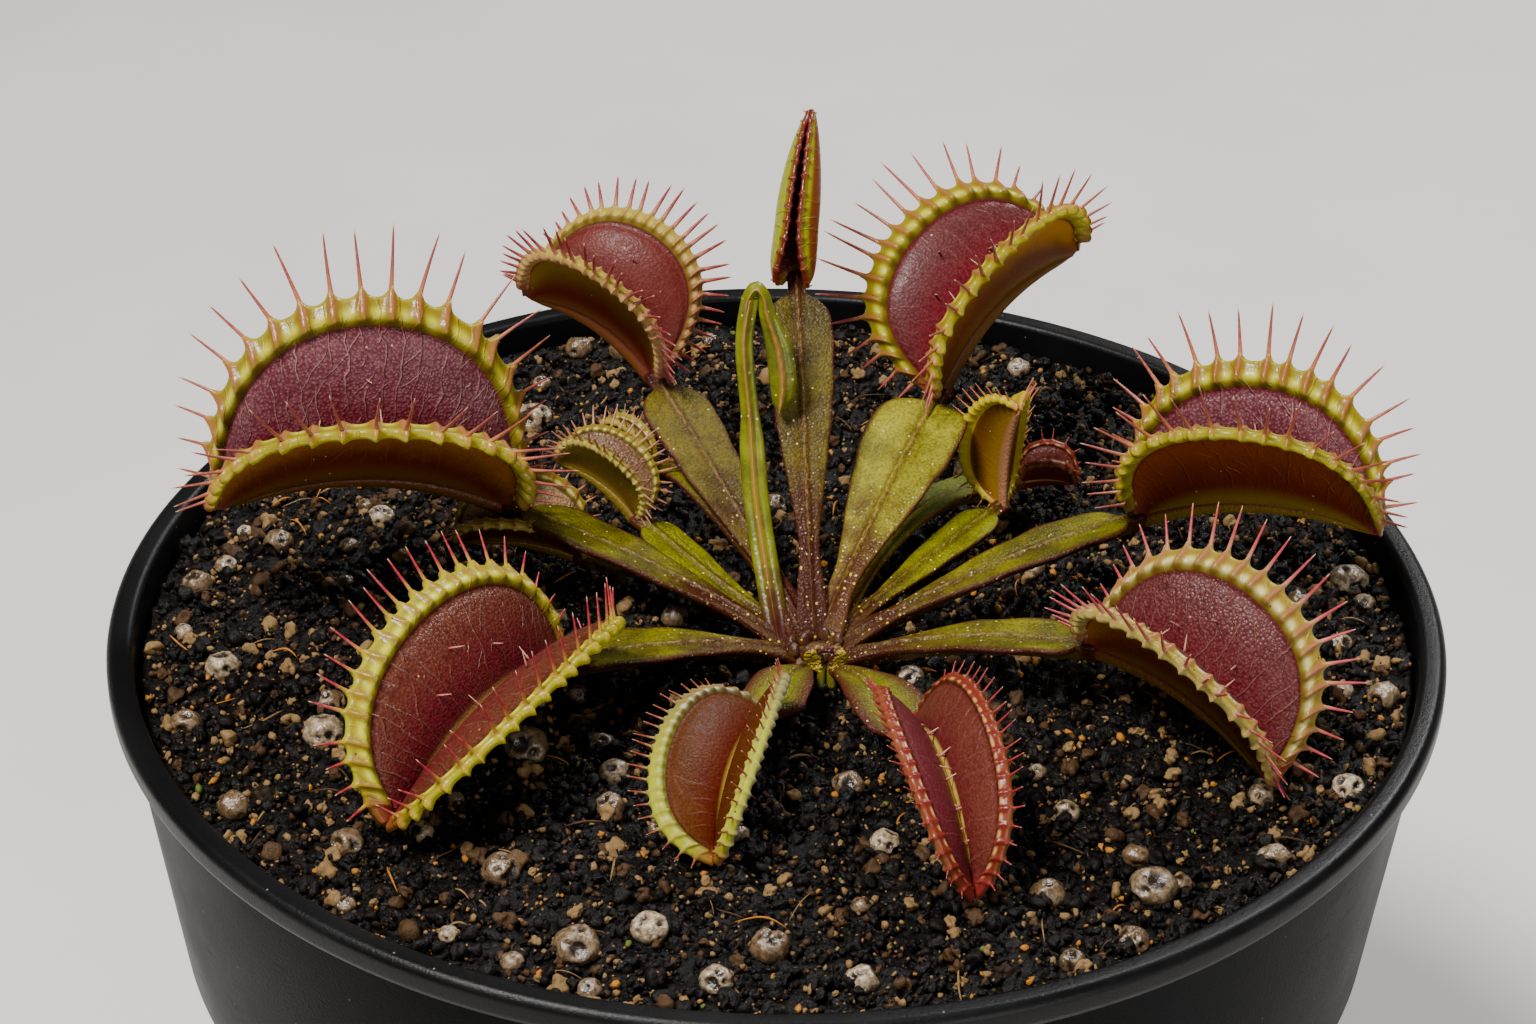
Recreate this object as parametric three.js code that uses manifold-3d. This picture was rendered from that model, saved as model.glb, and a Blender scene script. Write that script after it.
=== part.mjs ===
// A venus flytrap in a round nursery pot. Millimetres, +Z up.
// The origin is the middle of the pot's flat underside. The plant is laid out in a group whose
// origin is the middle of the pot's rim, so a height there is a height above the rim.
import * as THREE from 'three';
import Module from 'manifold-3d';
import { mergeVertices } from 'three/addons/utils/BufferGeometryUtils.js';

const wasm = await Module();
wasm.setup();

// ---------------------------------------------------------------- driving dimensions

const CLEARANCE = 0.3; // gap left between two pieces that touch on the real plant
const DETAIL = 0.03; // faces smaller than this are merged

const POT = {
  height: 98,
  rimRadius: 60,
  lipWidth: 2.4, // across the flat top of the rim
  lipHeight: 2.8,
  collarRadius: 58.6,
  collarHeight: 30, // from the rim down to the small step
  collarTaper: 3.2, // how much narrower the collar gets on the way down
  stepIn: 0.7,
  stepHeight: 1,
  baseRadius: 43,
  wall: 1.3,
  floor: 1.6,
  edge: 0.6, // bevel on the lip and foot
  round: 0.4, // smaller bevels under and inside the lip
  throat: 6, // how far the straight inside of the rim runs down
  draft: 0.2, // how much narrower the throat is at its foot
  sides: 44,
  drains: 6,
  drainRadius: 4,
  drainCircle: 29,
};

const SOIL = {
  edgeDepth: 3, // below the rim, at the wall
  mound: 0.5, // higher in the middle by this
  bump: 0.28, // height of the crumbly relief
  room: 0.25, // extra room at the wall for the flats of the two rounds
  rings: 5,
  sides: 30,
};

const PERLITE = {
  count: 38,
  tries: 900,
  smallest: 1.3,
  largest: 2.1,
  sunk: 0.2,
  apart: 0.6,
  fromWall: 3.4,
  fromCrown: 5,
  width: [0.85, 1], // of the grain's size, from the flattest grains to the roundest
  height: [0.7, 0.9],
};

// The crown is a low dome with a ring of small scales, in a plain round hole in the soil.
const CROWN = {
  x: 3.5, y: -7, radius: 3.5, top: -0.2, depth: 5, hole: 4.1,
  scales: 7, scaleRadius: 0.9, scaleHeight: 2.2, scaleCircle: 1.6, scaleLift: 0.3,
};

// A stalk starts inside the edge of the crown (at this part of the crown's radius) and ends just
// short of the joint. `cup` is how much its edges rise for their distance from the middle.
const STALK = { neck: 1.7, thick: 1.5, edge: 0.7, keel: 0.45, cup: 0.22, start: 0.75, short: 0.35 };
const STATIONS = [0, 0.25, 0.5, 0.7, 0.82, 0.89, 0.94, 1];

// A trap shorter than `small` has fewer faces and a slimmer midrib.
const LOBE = { thick: 0.8, rim: 1.05, bulge: 0.12, firstS: 0.025, small: 12.5 };
const CILIA = { radius: 0.32, finest: 0.18, stouter: 0.03, root: 0.45, lean: 14, from: 0.07, to: 0.93 };
const MIDRIB = {
  radius: 0.75, keel: 0.5, taper: 0.45, slim: 0.7, steps: 4,
  section: [[-0.75, -0.2], [0, 0.75], [0.75, -0.2], [0.5, -0.75], [0, -1], [-0.5, -0.75]],
};

// Every leaf: where its stalk meets its trap (joint, mm from the middle of the rim), which way the
// trap's midrib points (heading and pitch, degrees), how it rolls about the midrib, how far each
// lobe leans off the middle (open: left, right), the midrib's length and arch, the lobe's height,
// how far the rim overhangs the midrib's ends, and its shoulders (square: the lower, the squarer).
// The stalk leaves the crown in direction `from`, at height `low`, and is `wide` across its blade.
// It rises by `lift` halfway along, or runs through the points in `via`.
const LEAVES = [
  {
    name: '01', joint: [-25, 7.5, 5], heading: 191, pitch: 6, roll: 18, open: [28, 27],
    length: 25.5, arch: 3.8, height: 17, over: 1.07, square: 0.55, cilia: 13, tooth: 6.8,
    stalk: { from: 163, low: -0.9, wide: 6.6, lift: 1.0, twist: 14 },
  },
  {
    name: '02', joint: [-11.9, 19.4, 12.2], heading: 153, pitch: 21, roll: -3, open: [35, 34],
    length: 13.5, arch: 1.6, height: 10.9, over: 1.14, square: 0.47, cilia: 12, tooth: 3.6,
    stalk: { from: 124, low: 0.2, wide: 6.6, lift: 0.6, twist: 0 },
  },
  {
    name: '03', joint: [1.5, 20, 22.8], heading: 80, pitch: 58, roll: 0, open: [12, 13],
    length: 15, arch: 0.4, height: 5.2, over: 1.04, square: 0.42, cilia: 0, tooth: 0,
    bulge: -0.3, taper: 0.8,
    stalk: { from: 97, low: 1.0, wide: 6.2, lift: 0.8, twist: 0 },
  },
  {
    name: '05', joint: [15.2, 20.2, 10.3], heading: 41, pitch: 28, roll: 13, open: [39, 40],
    length: 18.6, arch: 2.1, height: 11.6, over: 1.1, square: 0.43, cilia: 13, tooth: 5.2,
    stalk: { from: 66, low: 0.4, wide: 9.2, lift: 0.8, twist: 0 },
  },
  {
    name: '06', joint: [20.9, 12, 2.7], heading: -62, pitch: 80, roll: 14, open: [34, 34],
    length: 11.4, arch: 1.2, height: 6, over: 1.04, square: 0.5, cilia: 8, tooth: 2.2, taper: 0.6,
    stalk: { from: 40, low: -0.7, wide: 4.2, lift: 0.4, twist: 0 },
  },
  {
    name: '07', joint: [33.6, 7.5, 4.5], heading: -20, pitch: 8, roll: -11, open: [22, 22],
    length: 21.2, arch: 2.4, height: 13.2, over: 1.07, square: 0.58, cilia: 13, tooth: 5.6,
    stalk: { from: 18, low: -0.9, wide: 6.6, lift: 1.2, twist: -14 },
  },
  {
    name: '08', joint: [27.9, -12.5, 3.3], heading: -40, pitch: -16, roll: -5, open: [33, 33],
    length: 18.6, arch: 2.1, height: 12.3, over: 1.12, square: 0.53, cilia: 13, tooth: 4.8,
    stalk: { from: -17, low: -1.4, wide: 6.8, lift: 1.4, twist: -10 },
  },
  {
    name: '09', joint: [11.9, -22.9, 0.3], heading: 283, pitch: -6, roll: 1, open: [28, 38],
    length: 17.6, arch: 3.2, height: 7.4, over: 1.2, square: 0.42, cilia: 11, tooth: 2.6,
    stalk: { from: -62, low: -1.4, wide: 6.6, lift: 1.6, twist: 0 },
  },
  {
    name: '10', joint: [-0.9, -20.4, 0.9], heading: 257, pitch: -8, roll: -21, open: [46, 46],
    length: 16.4, arch: 1.4, height: 7, over: 1.15, square: 0.5, cilia: 11, tooth: 2.6,
    stalk: { from: -107, low: -1.4, wide: 5.8, lift: 1.4, twist: 0 },
  },
  {
    name: '11', joint: [-19.4, -12.2, 0.7], heading: 240, pitch: -3, roll: 8, open: [41, 42],
    length: 23, arch: 2.5, height: 11.5, over: 1.22, square: 0.54, cilia: 13, tooth: 4.4,
    stalk: { from: 188, low: -1.1, wide: 7.6, lift: 1.2, twist: 12 },
  },
  {
    name: '12', joint: [-13.1, 7.6, 3.8], heading: 155, pitch: 27, roll: -11, open: [30, 30],
    length: 8.8, arch: 0.8, height: 4.9, over: 1.09, square: 0.53, cilia: 8, tooth: 2.2,
    stalk: { from: 143, low: -0.9, wide: 4.2, lift: -0.3, twist: 0 },
  },
  {
    name: '13', joint: [-11.8, 13.4, 5.6], heading: 140, pitch: 8, roll: 0, open: [14, 14],
    length: 6, arch: 0.4, height: 3.2, over: 1.04, square: 0.55, cilia: 6, tooth: 1.3,
    stalk: { from: 133, low: 0.2, wide: 3.4, twist: 0, via: [[-4.2, 5.6, 4.4], [-8.7, 10.6, 6.6]] },
  },
  {
    name: '14', joint: [-18.5, 8.1, -0.8], heading: 180, pitch: 8, roll: 12, open: [34, 34],
    length: 10.7, arch: 1, height: 6.8, over: 1.12, square: 0.58, cilia: 8, tooth: 2.2,
    stalk: { from: 150, low: -0.7, wide: 3.4, twist: 0, via: [[-9.5, 4.6, -0.7]] },
  },
  {
    name: '15', joint: [23.2, 20.5, 0.1], heading: -6, pitch: 4, roll: -6, open: [28, 28],
    length: 5, arch: 0.4, height: 3.6, over: 1.06, square: 0.55, cilia: 6, tooth: 1.3,
    stalk: {
      from: 54, low: -0.6, wide: 3.8, twist: 0,
      via: [[9.8, 6.6, 1], [13.8, 13, 1.5], [18.6, 18.2, 0.5]],
    },
  },
];

// The youngest leaf stands up and is still folded: its trap hangs down along its own stalk.
const FOLDED = {
  stalk: [[0.4, -6.3, -1.1], [-1.9, 3, 8.7], [-2.5, 6.5, 15], [-3.1, 8.5, 22.1], [-2.6, 9.4, 25.9]],
  trap: [[-2.1, 9.5, 26.9], [-1.1, 9.1, 24.6], [0, 8.5, 21.1], [0.4, 8, 17.8], [0.1, 7.8, 15.3]],
  stalkWidth: 2.3, armWidth: 1.6, neck: 1.1, trapWidth: 2.5,
};

// The leaf that is just opening in the middle: a curled tip on two legs.
const CURLED = {
  x: 4.4, y: -10.6, z: -0.9,
  size: 1.7, stretch: [1.15, 0.8, 0.75], lift: 1.2,
  leg: 2.2, legRadius: 0.8, legSpread: 1.1, legLean: 0.35, legLift: 0.2,
};

// ---------------------------------------------------------------- solids

const radians = THREE.MathUtils.degToRad;
const vec = (x, y, z) => new THREE.Vector3(x, y, z);
const lerp = THREE.MathUtils.lerp;

// A seeded source of numbers from 0 to 1, the same on every run.
function seeded(seed) {
  let state = seed;
  return () => {
    state = (state * 1664525 + 1013904223) % 4294967296;
    return state / 4294967296;
  };
}

// A closed three.js geometry as a solid that can be joined and cut.
function solid(geometry) {
  const bare = geometry.clone();
  bare.deleteAttribute('normal');
  bare.deleteAttribute('uv');
  const merged = mergeVertices(bare, 1e-4);
  const triVerts = new Uint32Array(merged.index.array);
  const vertProperties = new Float32Array(merged.attributes.position.array);
  return new wasm.Manifold(new wasm.Mesh({ numProp: 3, vertProperties, triVerts }));
}

// A solid from rings of points that follow one another. A ring runs along one face and back along
// the other, so point i lies across from the last but i, and both faces get the same diagonals.
function skin(rings) {
  const count = rings[0].length;
  const half = count / 2;
  const positions = rings.flat().flatMap((p) => [p.x, p.y, p.z]);
  const index = [];
  const quad = (a, b, c, d, turned) => {
    if (turned) index.push(a, b, d, b, c, d);
    else index.push(a, b, c, a, c, d);
  };
  for (let k = 0; k + 1 < rings.length; k++) {
    for (let i = 0; i < count; i++) {
      const j = (i + 1) % count;
      const low = k * count;
      const high = low + count;
      quad(low + i, low + j, high + j, high + i, i >= half);
    }
  }
  const last = (rings.length - 1) * count;
  for (let i = 0; i + 1 < half; i++) {
    const across = count - 1 - i;
    quad(i, across, across - 1, i + 1, false);
    quad(last + i, last + i + 1, last + across - 1, last + across, false);
  }
  const geometry = new THREE.BufferGeometry();
  geometry.setAttribute('position', new THREE.Float32BufferAttribute(positions, 3));
  geometry.setIndex(index);
  const made = solid(geometry);
  if (made.volume() > 0) return made;
  for (let i = 0; i < index.length; i += 3) [index[i], index[i + 1]] = [index[i + 1], index[i]];
  geometry.setIndex(index);
  return solid(geometry);
}

// The largest body of a solid: loose scraps that a cut leaves are dropped.
function largest(shape) {
  const bodies = shape.decompose();
  return bodies.reduce((best, body) => (body.volume() > best.volume() ? body : best));
}

function boxesMeet(a, b) {
  const p = a.boundingBox();
  const q = b.boundingBox();
  return [0, 1, 2].every((i) => p.min[i] < q.max[i] && q.min[i] < p.max[i]);
}

// A shape with room cut out of it for each neighbour that it would touch.
function clearOf(shape, neighbours) {
  let left = shape;
  for (const other of neighbours) {
    if (boxesMeet(left, other)) left = left.subtract(other);
  }
  return largest(left);
}

function meshOf(name, shape, material) {
  const made = shape.getMesh();
  const geometry = new THREE.BufferGeometry();
  geometry.setAttribute('position', new THREE.Float32BufferAttribute(made.vertProperties, 3));
  geometry.setIndex(Array.from(made.triVerts));
  geometry.computeVertexNormals();
  const mesh = new THREE.Mesh(geometry, material);
  mesh.name = name;
  return mesh;
}

// ---------------------------------------------------------------- materials

const MATERIALS = {
  pot: new THREE.MeshStandardMaterial({ color: 0x17181a, roughness: 0.42 }),
  soil: new THREE.MeshStandardMaterial({ color: 0x1c1612, roughness: 0.9 }),
  crown: new THREE.MeshStandardMaterial({ color: 0x5a3a1e, roughness: 0.6 }),
  stalk: new THREE.MeshStandardMaterial({ color: 0x6f7a2c, roughness: 0.45 }),
  trap: new THREE.MeshStandardMaterial({ color: 0x6b1f26, roughness: 0.4 }),
  young: new THREE.MeshStandardMaterial({ color: 0x7d9430, roughness: 0.45 }),
};

// ---------------------------------------------------------------- the pot

const potTaper = (z) => {
  const t = z / (POT.height - POT.collarHeight);
  return lerp(POT.baseRadius, POT.collarRadius - POT.collarTaper - POT.stepIn, t);
};

function makePot() {
  const { height, rimRadius, lipWidth, lipHeight, collarRadius, collarHeight } = POT;
  const { wall, floor, edge, round, stepHeight } = POT;
  const stepZ = height - collarHeight;
  const collarFoot = potTaper(stepZ) + POT.stepIn;
  const inner = rimRadius - lipWidth;
  const profile = [
    [0, 0],
    [POT.baseRadius - edge, 0],
    [potTaper(edge), edge],
    [potTaper(stepZ), stepZ - stepHeight],
    [collarFoot, stepZ],
    [collarRadius, height - lipHeight - edge],
    [rimRadius - round, height - lipHeight],
    [rimRadius, height - lipHeight + edge],
    [rimRadius, height - edge],
    [rimRadius - edge, height],
    [inner + round, height],
    [inner, height - round],
    [inner - POT.draft, height - POT.throat],
    [potTaper(stepZ) - wall, stepZ - stepHeight],
    [potTaper(floor) - wall, floor],
    [0, floor],
  ].map(([x, y]) => new THREE.Vector2(x, y));
  // The lathe turns about Y, so the pot is stood up along Z afterwards.
  const body = solid(new THREE.LatheGeometry(profile, POT.sides).rotateX(Math.PI / 2));
  const drain = solid(
    new THREE.CylinderGeometry(POT.drainRadius, POT.drainRadius, 4 * floor, 14).rotateX(Math.PI / 2)
  );
  const drains = Array.from({ length: POT.drains }, (_, i) => {
    const angle = (i * 2 * Math.PI) / POT.drains;
    return drain.translate([POT.drainCircle * Math.cos(angle), POT.drainCircle * Math.sin(angle), 0]);
  });
  return body.subtract(wasm.Manifold.union(drains));
}

// ---------------------------------------------------------------- the leaves

// The trap's own axes: X along the midrib, Z up the middle of the open mouth.
function trapFrame({ joint, heading, pitch, roll }) {
  const a = radians(heading);
  const p = radians(pitch);
  const along = vec(Math.cos(p) * Math.cos(a), Math.cos(p) * Math.sin(a), Math.sin(p));
  const mouth = vec(-Math.sin(p) * Math.cos(a), -Math.sin(p) * Math.sin(a), Math.cos(p));
  mouth.applyAxisAngle(along, -radians(roll));
  const across = mouth.clone().cross(along);
  return new THREE.Matrix4().makeBasis(along, across, mouth).setPosition(...joint);
}

const midribPoint = (leaf, s) => vec(leaf.length * s, 0, 4 * leaf.arch * s * (1 - s));

// A point of a lobe's middle surface: s runs along the midrib, t from the midrib out to the rim.
function lobePoint(leaf, side, s, t) {
  const open = radians(side > 0 ? leaf.open[0] : leaf.open[1]);
  const height = leaf.height * Math.sin(Math.PI * s) ** leaf.square * (1 - (leaf.taper ?? 0) * s * s);
  const middle = midribPoint(leaf, s);
  const rimX = leaf.length * (0.5 - 0.5 * leaf.over * Math.cos(Math.PI * s));
  const rim = vec(rimX, side * height * Math.sin(open), middle.z + height * Math.cos(open));
  const swell = (leaf.bulge ?? LOBE.bulge) * height * 4 * t * (1 - t);
  const inward = vec(0, -side * Math.cos(open), Math.sin(open));
  return middle.lerp(rim, t).addScaledVector(inward, swell);
}

function lobeNormal(leaf, side, s, t) {
  const step = 0.01;
  const ds = lobePoint(leaf, side, s + step, t).sub(lobePoint(leaf, side, s - step, t));
  const dt = lobePoint(leaf, side, s, t + step).sub(lobePoint(leaf, side, s, t - step));
  return ds.cross(dt).normalize();
}

function makeLobe(leaf, side, grow) {
  const columns = leaf.length > LOBE.small ? 9 : 5;
  const rows = leaf.length > LOBE.small ? 3 : 2;
  const rings = [];
  for (let k = 0; k <= columns; k++) {
    const s = lerp(LOBE.firstS, 1 - LOBE.firstS, k / columns);
    const face = (sign) =>
      Array.from({ length: rows + 1 }, (_, i) => {
        const t = (i / rows) * (1 + grow / leaf.height);
        const half = lerp(LOBE.thick, LOBE.rim, i / rows) / 2 + grow;
        return lobePoint(leaf, side, s, t).addScaledVector(lobeNormal(leaf, side, s, t), sign * half);
      });
    rings.push([...face(1), ...face(-1).reverse()]);
  }
  return skin(rings);
}

// The teeth stand out from the rim in the lobe's own surface, leaning a little over the mouth.
function makeCilia(leaf, side, grow) {
  const teeth = [];
  for (let i = 0; i < leaf.cilia; i++) {
    const s = lerp(CILIA.from, CILIA.to, i / (leaf.cilia - 1));
    const root = lobePoint(leaf, side, s, 1);
    const next = lobePoint(leaf, side, s + 0.01, 1);
    const alongRim = next.sub(lobePoint(leaf, side, s - 0.01, 1)).normalize();
    const normal = lobeNormal(leaf, side, s, 1);
    const out = normal.clone().cross(alongRim).normalize();
    const outward = lobePoint(leaf, side, s, 1).sub(lobePoint(leaf, side, s, 0.8));
    if (out.dot(outward) < 0) out.negate();
    const towardsMouth = Math.sign(alongRim.clone().cross(out).y * -side);
    out.applyAxisAngle(alongRim, radians(CILIA.lean) * towardsMouth);
    const length = leaf.tooth * (0.55 + 0.45 * Math.sin(Math.PI * s)) + CILIA.root;
    const radius = Math.min(CILIA.radius, CILIA.finest + leaf.tooth * CILIA.stouter) + grow;
    const cone = new THREE.ConeGeometry(radius, length, 3).translate(0, length / 2 - CILIA.root, 0);
    const turn = new THREE.Quaternion().setFromUnitVectors(vec(0, 1, 0), out);
    cone.applyQuaternion(turn).translate(root.x, root.y, root.z);
    teeth.push(solid(cone));
  }
  return teeth;
}

function makeMidrib(leaf, grow) {
  const thin = leaf.length > LOBE.small ? 1 : MIDRIB.slim;
  const rings = Array.from({ length: MIDRIB.steps + 1 }, (_, k) => {
    const s = k / MIDRIB.steps;
    const centre = midribPoint(leaf, s);
    const radius = MIDRIB.radius * thin * (1 - MIDRIB.taper * s) + grow;
    const keel = radius + MIDRIB.keel * thin * (1 - s * s);
    return MIDRIB.section.map(([y, z]) =>
      vec(centre.x, centre.y + y * radius, centre.z + z * (z > 0 ? radius : keel))
    );
  });
  return skin(rings);
}

function makeTrap(leaf, grow) {
  const pieces = [makeMidrib(leaf, grow)];
  for (const side of [1, -1]) {
    pieces.push(makeLobe(leaf, side, grow), ...makeCilia(leaf, side, grow));
  }
  return wasm.Manifold.union(pieces).transform(trapFrame(leaf).elements);
}

// How wide a stalk's blade is, from 0 at the foot to 1 at its shoulders, then down to the neck.
function wing(u) {
  const grown = THREE.MathUtils.smoothstep(u, 0.05, 0.8);
  const closing = THREE.MathUtils.clamp((u - 0.84) / 0.1, 0, 1);
  return (0.12 + 0.88 * grown) * Math.sqrt(1 - closing * closing);
}

// A blade along a path: a shallow channel, thick along its midrib, with a keel underneath.
function makeBlade(path, widthAt, { twist = 0, neck = STALK.neck, grow = 0, stations }) {
  const sections = [-1, -0.55, 0, 0.55, 1];
  const up = vec(0, 0, 1);
  const rings = stations.map((u) => {
    const centre = path.getPointAt(u);
    const along = path.getTangentAt(u);
    const across = along.clone().cross(up).normalize().applyAxisAngle(along, radians(twist * u));
    const above = across.clone().cross(along).normalize();
    const half = Math.max(widthAt(u), neck) / 2 + grow;
    const point = (a, b) => {
      const raised = b + a * a * half * STALK.cup;
      return centre.clone().addScaledVector(across, a * half).addScaledVector(above, raised);
    };
    const thick = (a) => lerp(STALK.thick, STALK.edge, Math.abs(a)) / 2 + grow;
    const keel = (a) => STALK.keel * Math.max(0, 1 - 2 * Math.abs(a));
    const top = sections.map((a) => point(a, thick(a)));
    const bottom = sections.map((a) => point(a, -thick(a) - keel(a)));
    return [...top, ...bottom.reverse()];
  });
  return skin(rings);
}

function stalkPath(leaf) {
  const { from, low, lift, via } = leaf.stalk;
  const a = radians(from);
  const start = CROWN.radius * STALK.start;
  const base = vec(CROWN.x + start * Math.cos(a), CROWN.y + start * Math.sin(a), low);
  const along = new THREE.Vector3().setFromMatrixColumn(trapFrame(leaf), 0);
  const joint = vec(...leaf.joint).addScaledVector(along, -STALK.short);
  const halfway = base.clone().lerp(joint, 0.5).add(vec(0, 0, lift ?? 0));
  const between = via?.map((p) => vec(...p)) ?? [halfway];
  return new THREE.CatmullRomCurve3([base, ...between, joint]);
}

function makeStalk(leaf, grow) {
  const { wide, twist } = leaf.stalk;
  return makeBlade(stalkPath(leaf), (u) => wide * wing(u), { twist, grow, stations: STATIONS });
}

// ---------------------------------------------------------------- the young leaves

const throughPoints = (points) => new THREE.CatmullRomCurve3(points.map((p) => vec(...p)));

function makeFoldedStalk(grow) {
  const narrowing = (u) => THREE.MathUtils.smoothstep(u, 0.55, 0.7);
  const width = (u) => lerp(FOLDED.stalkWidth, FOLDED.armWidth, narrowing(u));
  const stations = [0, 0.2, 0.4, 0.6, 0.8, 1];
  return makeBlade(throughPoints(FOLDED.stalk), width, { grow, neck: FOLDED.neck, stations });
}

function makeFoldedTrap(grow) {
  const width = (u) => lerp(FOLDED.neck, FOLDED.trapWidth, Math.sin(Math.PI * u ** 1.5));
  const stations = [0, 0.1, 0.25, 0.45, 0.65, 0.85, 0.95, 1];
  return makeBlade(throughPoints(FOLDED.trap), width, { grow, neck: FOLDED.neck, stations });
}

function makeCurled(grow) {
  const { x, y, z, size, stretch, lift, leg, legRadius, legSpread, legLean, legLift } = CURLED;
  const curl = new THREE.SphereGeometry(size + grow, 9, 6).scale(...stretch);
  const legs = [-1, 1].map((side) => {
    const cone = new THREE.ConeGeometry(legRadius + grow, leg + grow, 6).rotateX(Math.PI);
    return solid(cone.rotateY(side * legLean).translate(x + side * legSpread, y, z + legLift));
  });
  return wasm.Manifold.union([solid(curl.translate(x, y, z + lift)), ...legs]);
}

// ---------------------------------------------------------------- crown and soil

function makeCrown(grow) {
  const { x, y, radius, top, depth } = CROWN;
  const dome = new THREE.SphereGeometry(1, 12, 8)
    .rotateX(Math.PI / 2)
    .scale(radius + grow, radius + grow, depth / 2 + grow)
    .translate(x, y, top - depth / 2);
  const random = seeded(11);
  const scales = Array.from({ length: CROWN.scales }, (_, i) => {
    const angle = (i / CROWN.scales) * 2 * Math.PI + random() * 0.5;
    const cone = new THREE.ConeGeometry(CROWN.scaleRadius + grow, CROWN.scaleHeight + grow, 5);
    const across = x + CROWN.scaleCircle * Math.cos(angle);
    const back = y + CROWN.scaleCircle * Math.sin(angle);
    return solid(cone.rotateX(Math.PI / 2).translate(across, back, top + CROWN.scaleLift));
  });
  return wasm.Manifold.union([solid(dome), ...scales]);
}

// Height of the bed above the rim's plane, with its crumbly relief.
function soilHeight(x, y) {
  const r = Math.hypot(x, y) / POT.rimRadius;
  const crumbs = Math.sin(x * 0.9 + 2 * Math.sin(y * 0.35)) * Math.cos(y * 0.8 + Math.sin(x * 0.5));
  return -SOIL.edgeDepth + SOIL.mound * (1 - r * r) + SOIL.bump * crumbs;
}

function makeBed() {
  const room = CLEARANCE + SOIL.room;
  const bottomZ = POT.floor + CLEARANCE - POT.height;
  const stepZ = -POT.collarHeight - POT.stepHeight;
  const topRadius = POT.rimRadius - POT.lipWidth - POT.draft - room;
  const stepRadius = potTaper(POT.height - POT.collarHeight) - POT.wall - room;
  const bottomRadius = potTaper(POT.floor) - POT.wall - room;
  const profile = [new THREE.Vector2(0, bottomZ), new THREE.Vector2(bottomRadius, bottomZ)];
  profile.push(new THREE.Vector2(stepRadius, stepZ));
  for (let i = SOIL.rings; i >= 0; i--) {
    profile.push(new THREE.Vector2((topRadius * i) / SOIL.rings, -SOIL.edgeDepth));
  }
  const lathe = new THREE.LatheGeometry(profile, SOIL.sides).rotateX(Math.PI / 2);
  const position = lathe.attributes.position;
  for (let i = 0; i < position.count; i++) {
    const [x, y, z] = [position.getX(i), position.getY(i), position.getZ(i)];
    if (z > stepZ + 1) position.setZ(i, soilHeight(x, y));
  }
  return solid(lathe);
}

// Perlite grains lie all over the bed, each half sunk, and none under a leaf that it would touch.
function makeSoil(plant) {
  const random = seeded(29);
  const grains = [];
  const placed = [];
  const reach = POT.rimRadius - POT.lipWidth - PERLITE.fromWall;
  for (let i = 0; i < PERLITE.tries && grains.length < PERLITE.count; i++) {
    const angle = random() * 2 * Math.PI;
    const r = reach * Math.sqrt(random());
    const size = lerp(PERLITE.smallest, PERLITE.largest, random() ** 1.5);
    const [x, y] = [r * Math.cos(angle), r * Math.sin(angle)];
    const crowded = placed.some(
      (p) => Math.hypot(p.x - x, p.y - y) < p.size + size + PERLITE.apart
    );
    const atCrown = Math.hypot(x - CROWN.x, y - CROWN.y) < CROWN.radius + PERLITE.fromCrown;
    if (crowded || atCrown) continue;
    const stone = new THREE.IcosahedronGeometry(size, 0)
      .rotateZ(random() * 6)
      .rotateX(random() * 6)
      .scale(1, lerp(...PERLITE.width, random()), lerp(...PERLITE.height, random()))
      .translate(x, y, soilHeight(x, y) + size * PERLITE.sunk);
    const grain = solid(stone);
    if (boxesMeet(grain, plant) && !grain.intersect(plant).isEmpty()) continue;
    placed.push({ x, y, size });
    grains.push(grain);
  }
  const hole = solid(
    new THREE.CylinderGeometry(CROWN.hole, CROWN.hole, CROWN.depth * 2, 20)
      .rotateX(Math.PI / 2)
      .translate(CROWN.x, CROWN.y, CROWN.top)
  );
  return largest(wasm.Manifold.union([makeBed(), ...grains]).subtract(hole));
}

// ---------------------------------------------------------------- the whole plant

const plant = new THREE.Group();
plant.position.z = POT.height;

// The pieces so far, each grown by the clearance.
const taken = [];

// Adds one piece, cut clear of all those before it. `make(grow)` gives its solid.
function place(name, make, material) {
  plant.add(meshOf(name, clearOf(make(0).simplify(DETAIL), taken), material));
  taken.push(make(CLEARANCE));
}

place('crown', makeCrown, MATERIALS.crown);
for (const leaf of LEAVES) {
  place(`trap_${leaf.name}`, (grow) => makeTrap(leaf, grow), MATERIALS.trap);
}
place('stalk_04', makeFoldedStalk, MATERIALS.stalk);
place('trap_04', makeFoldedTrap, MATERIALS.young);
place('bud_curled', makeCurled, MATERIALS.young);
for (const leaf of LEAVES) {
  place(`stalk_${leaf.name}`, (grow) => makeStalk(leaf, grow), MATERIALS.stalk);
}

plant.add(meshOf('soil', makeSoil(wasm.Manifold.union(taken)), MATERIALS.soil));

const group = new THREE.Group();
group.add(meshOf('pot', makePot(), MATERIALS.pot), plant);

export default group;
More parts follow.
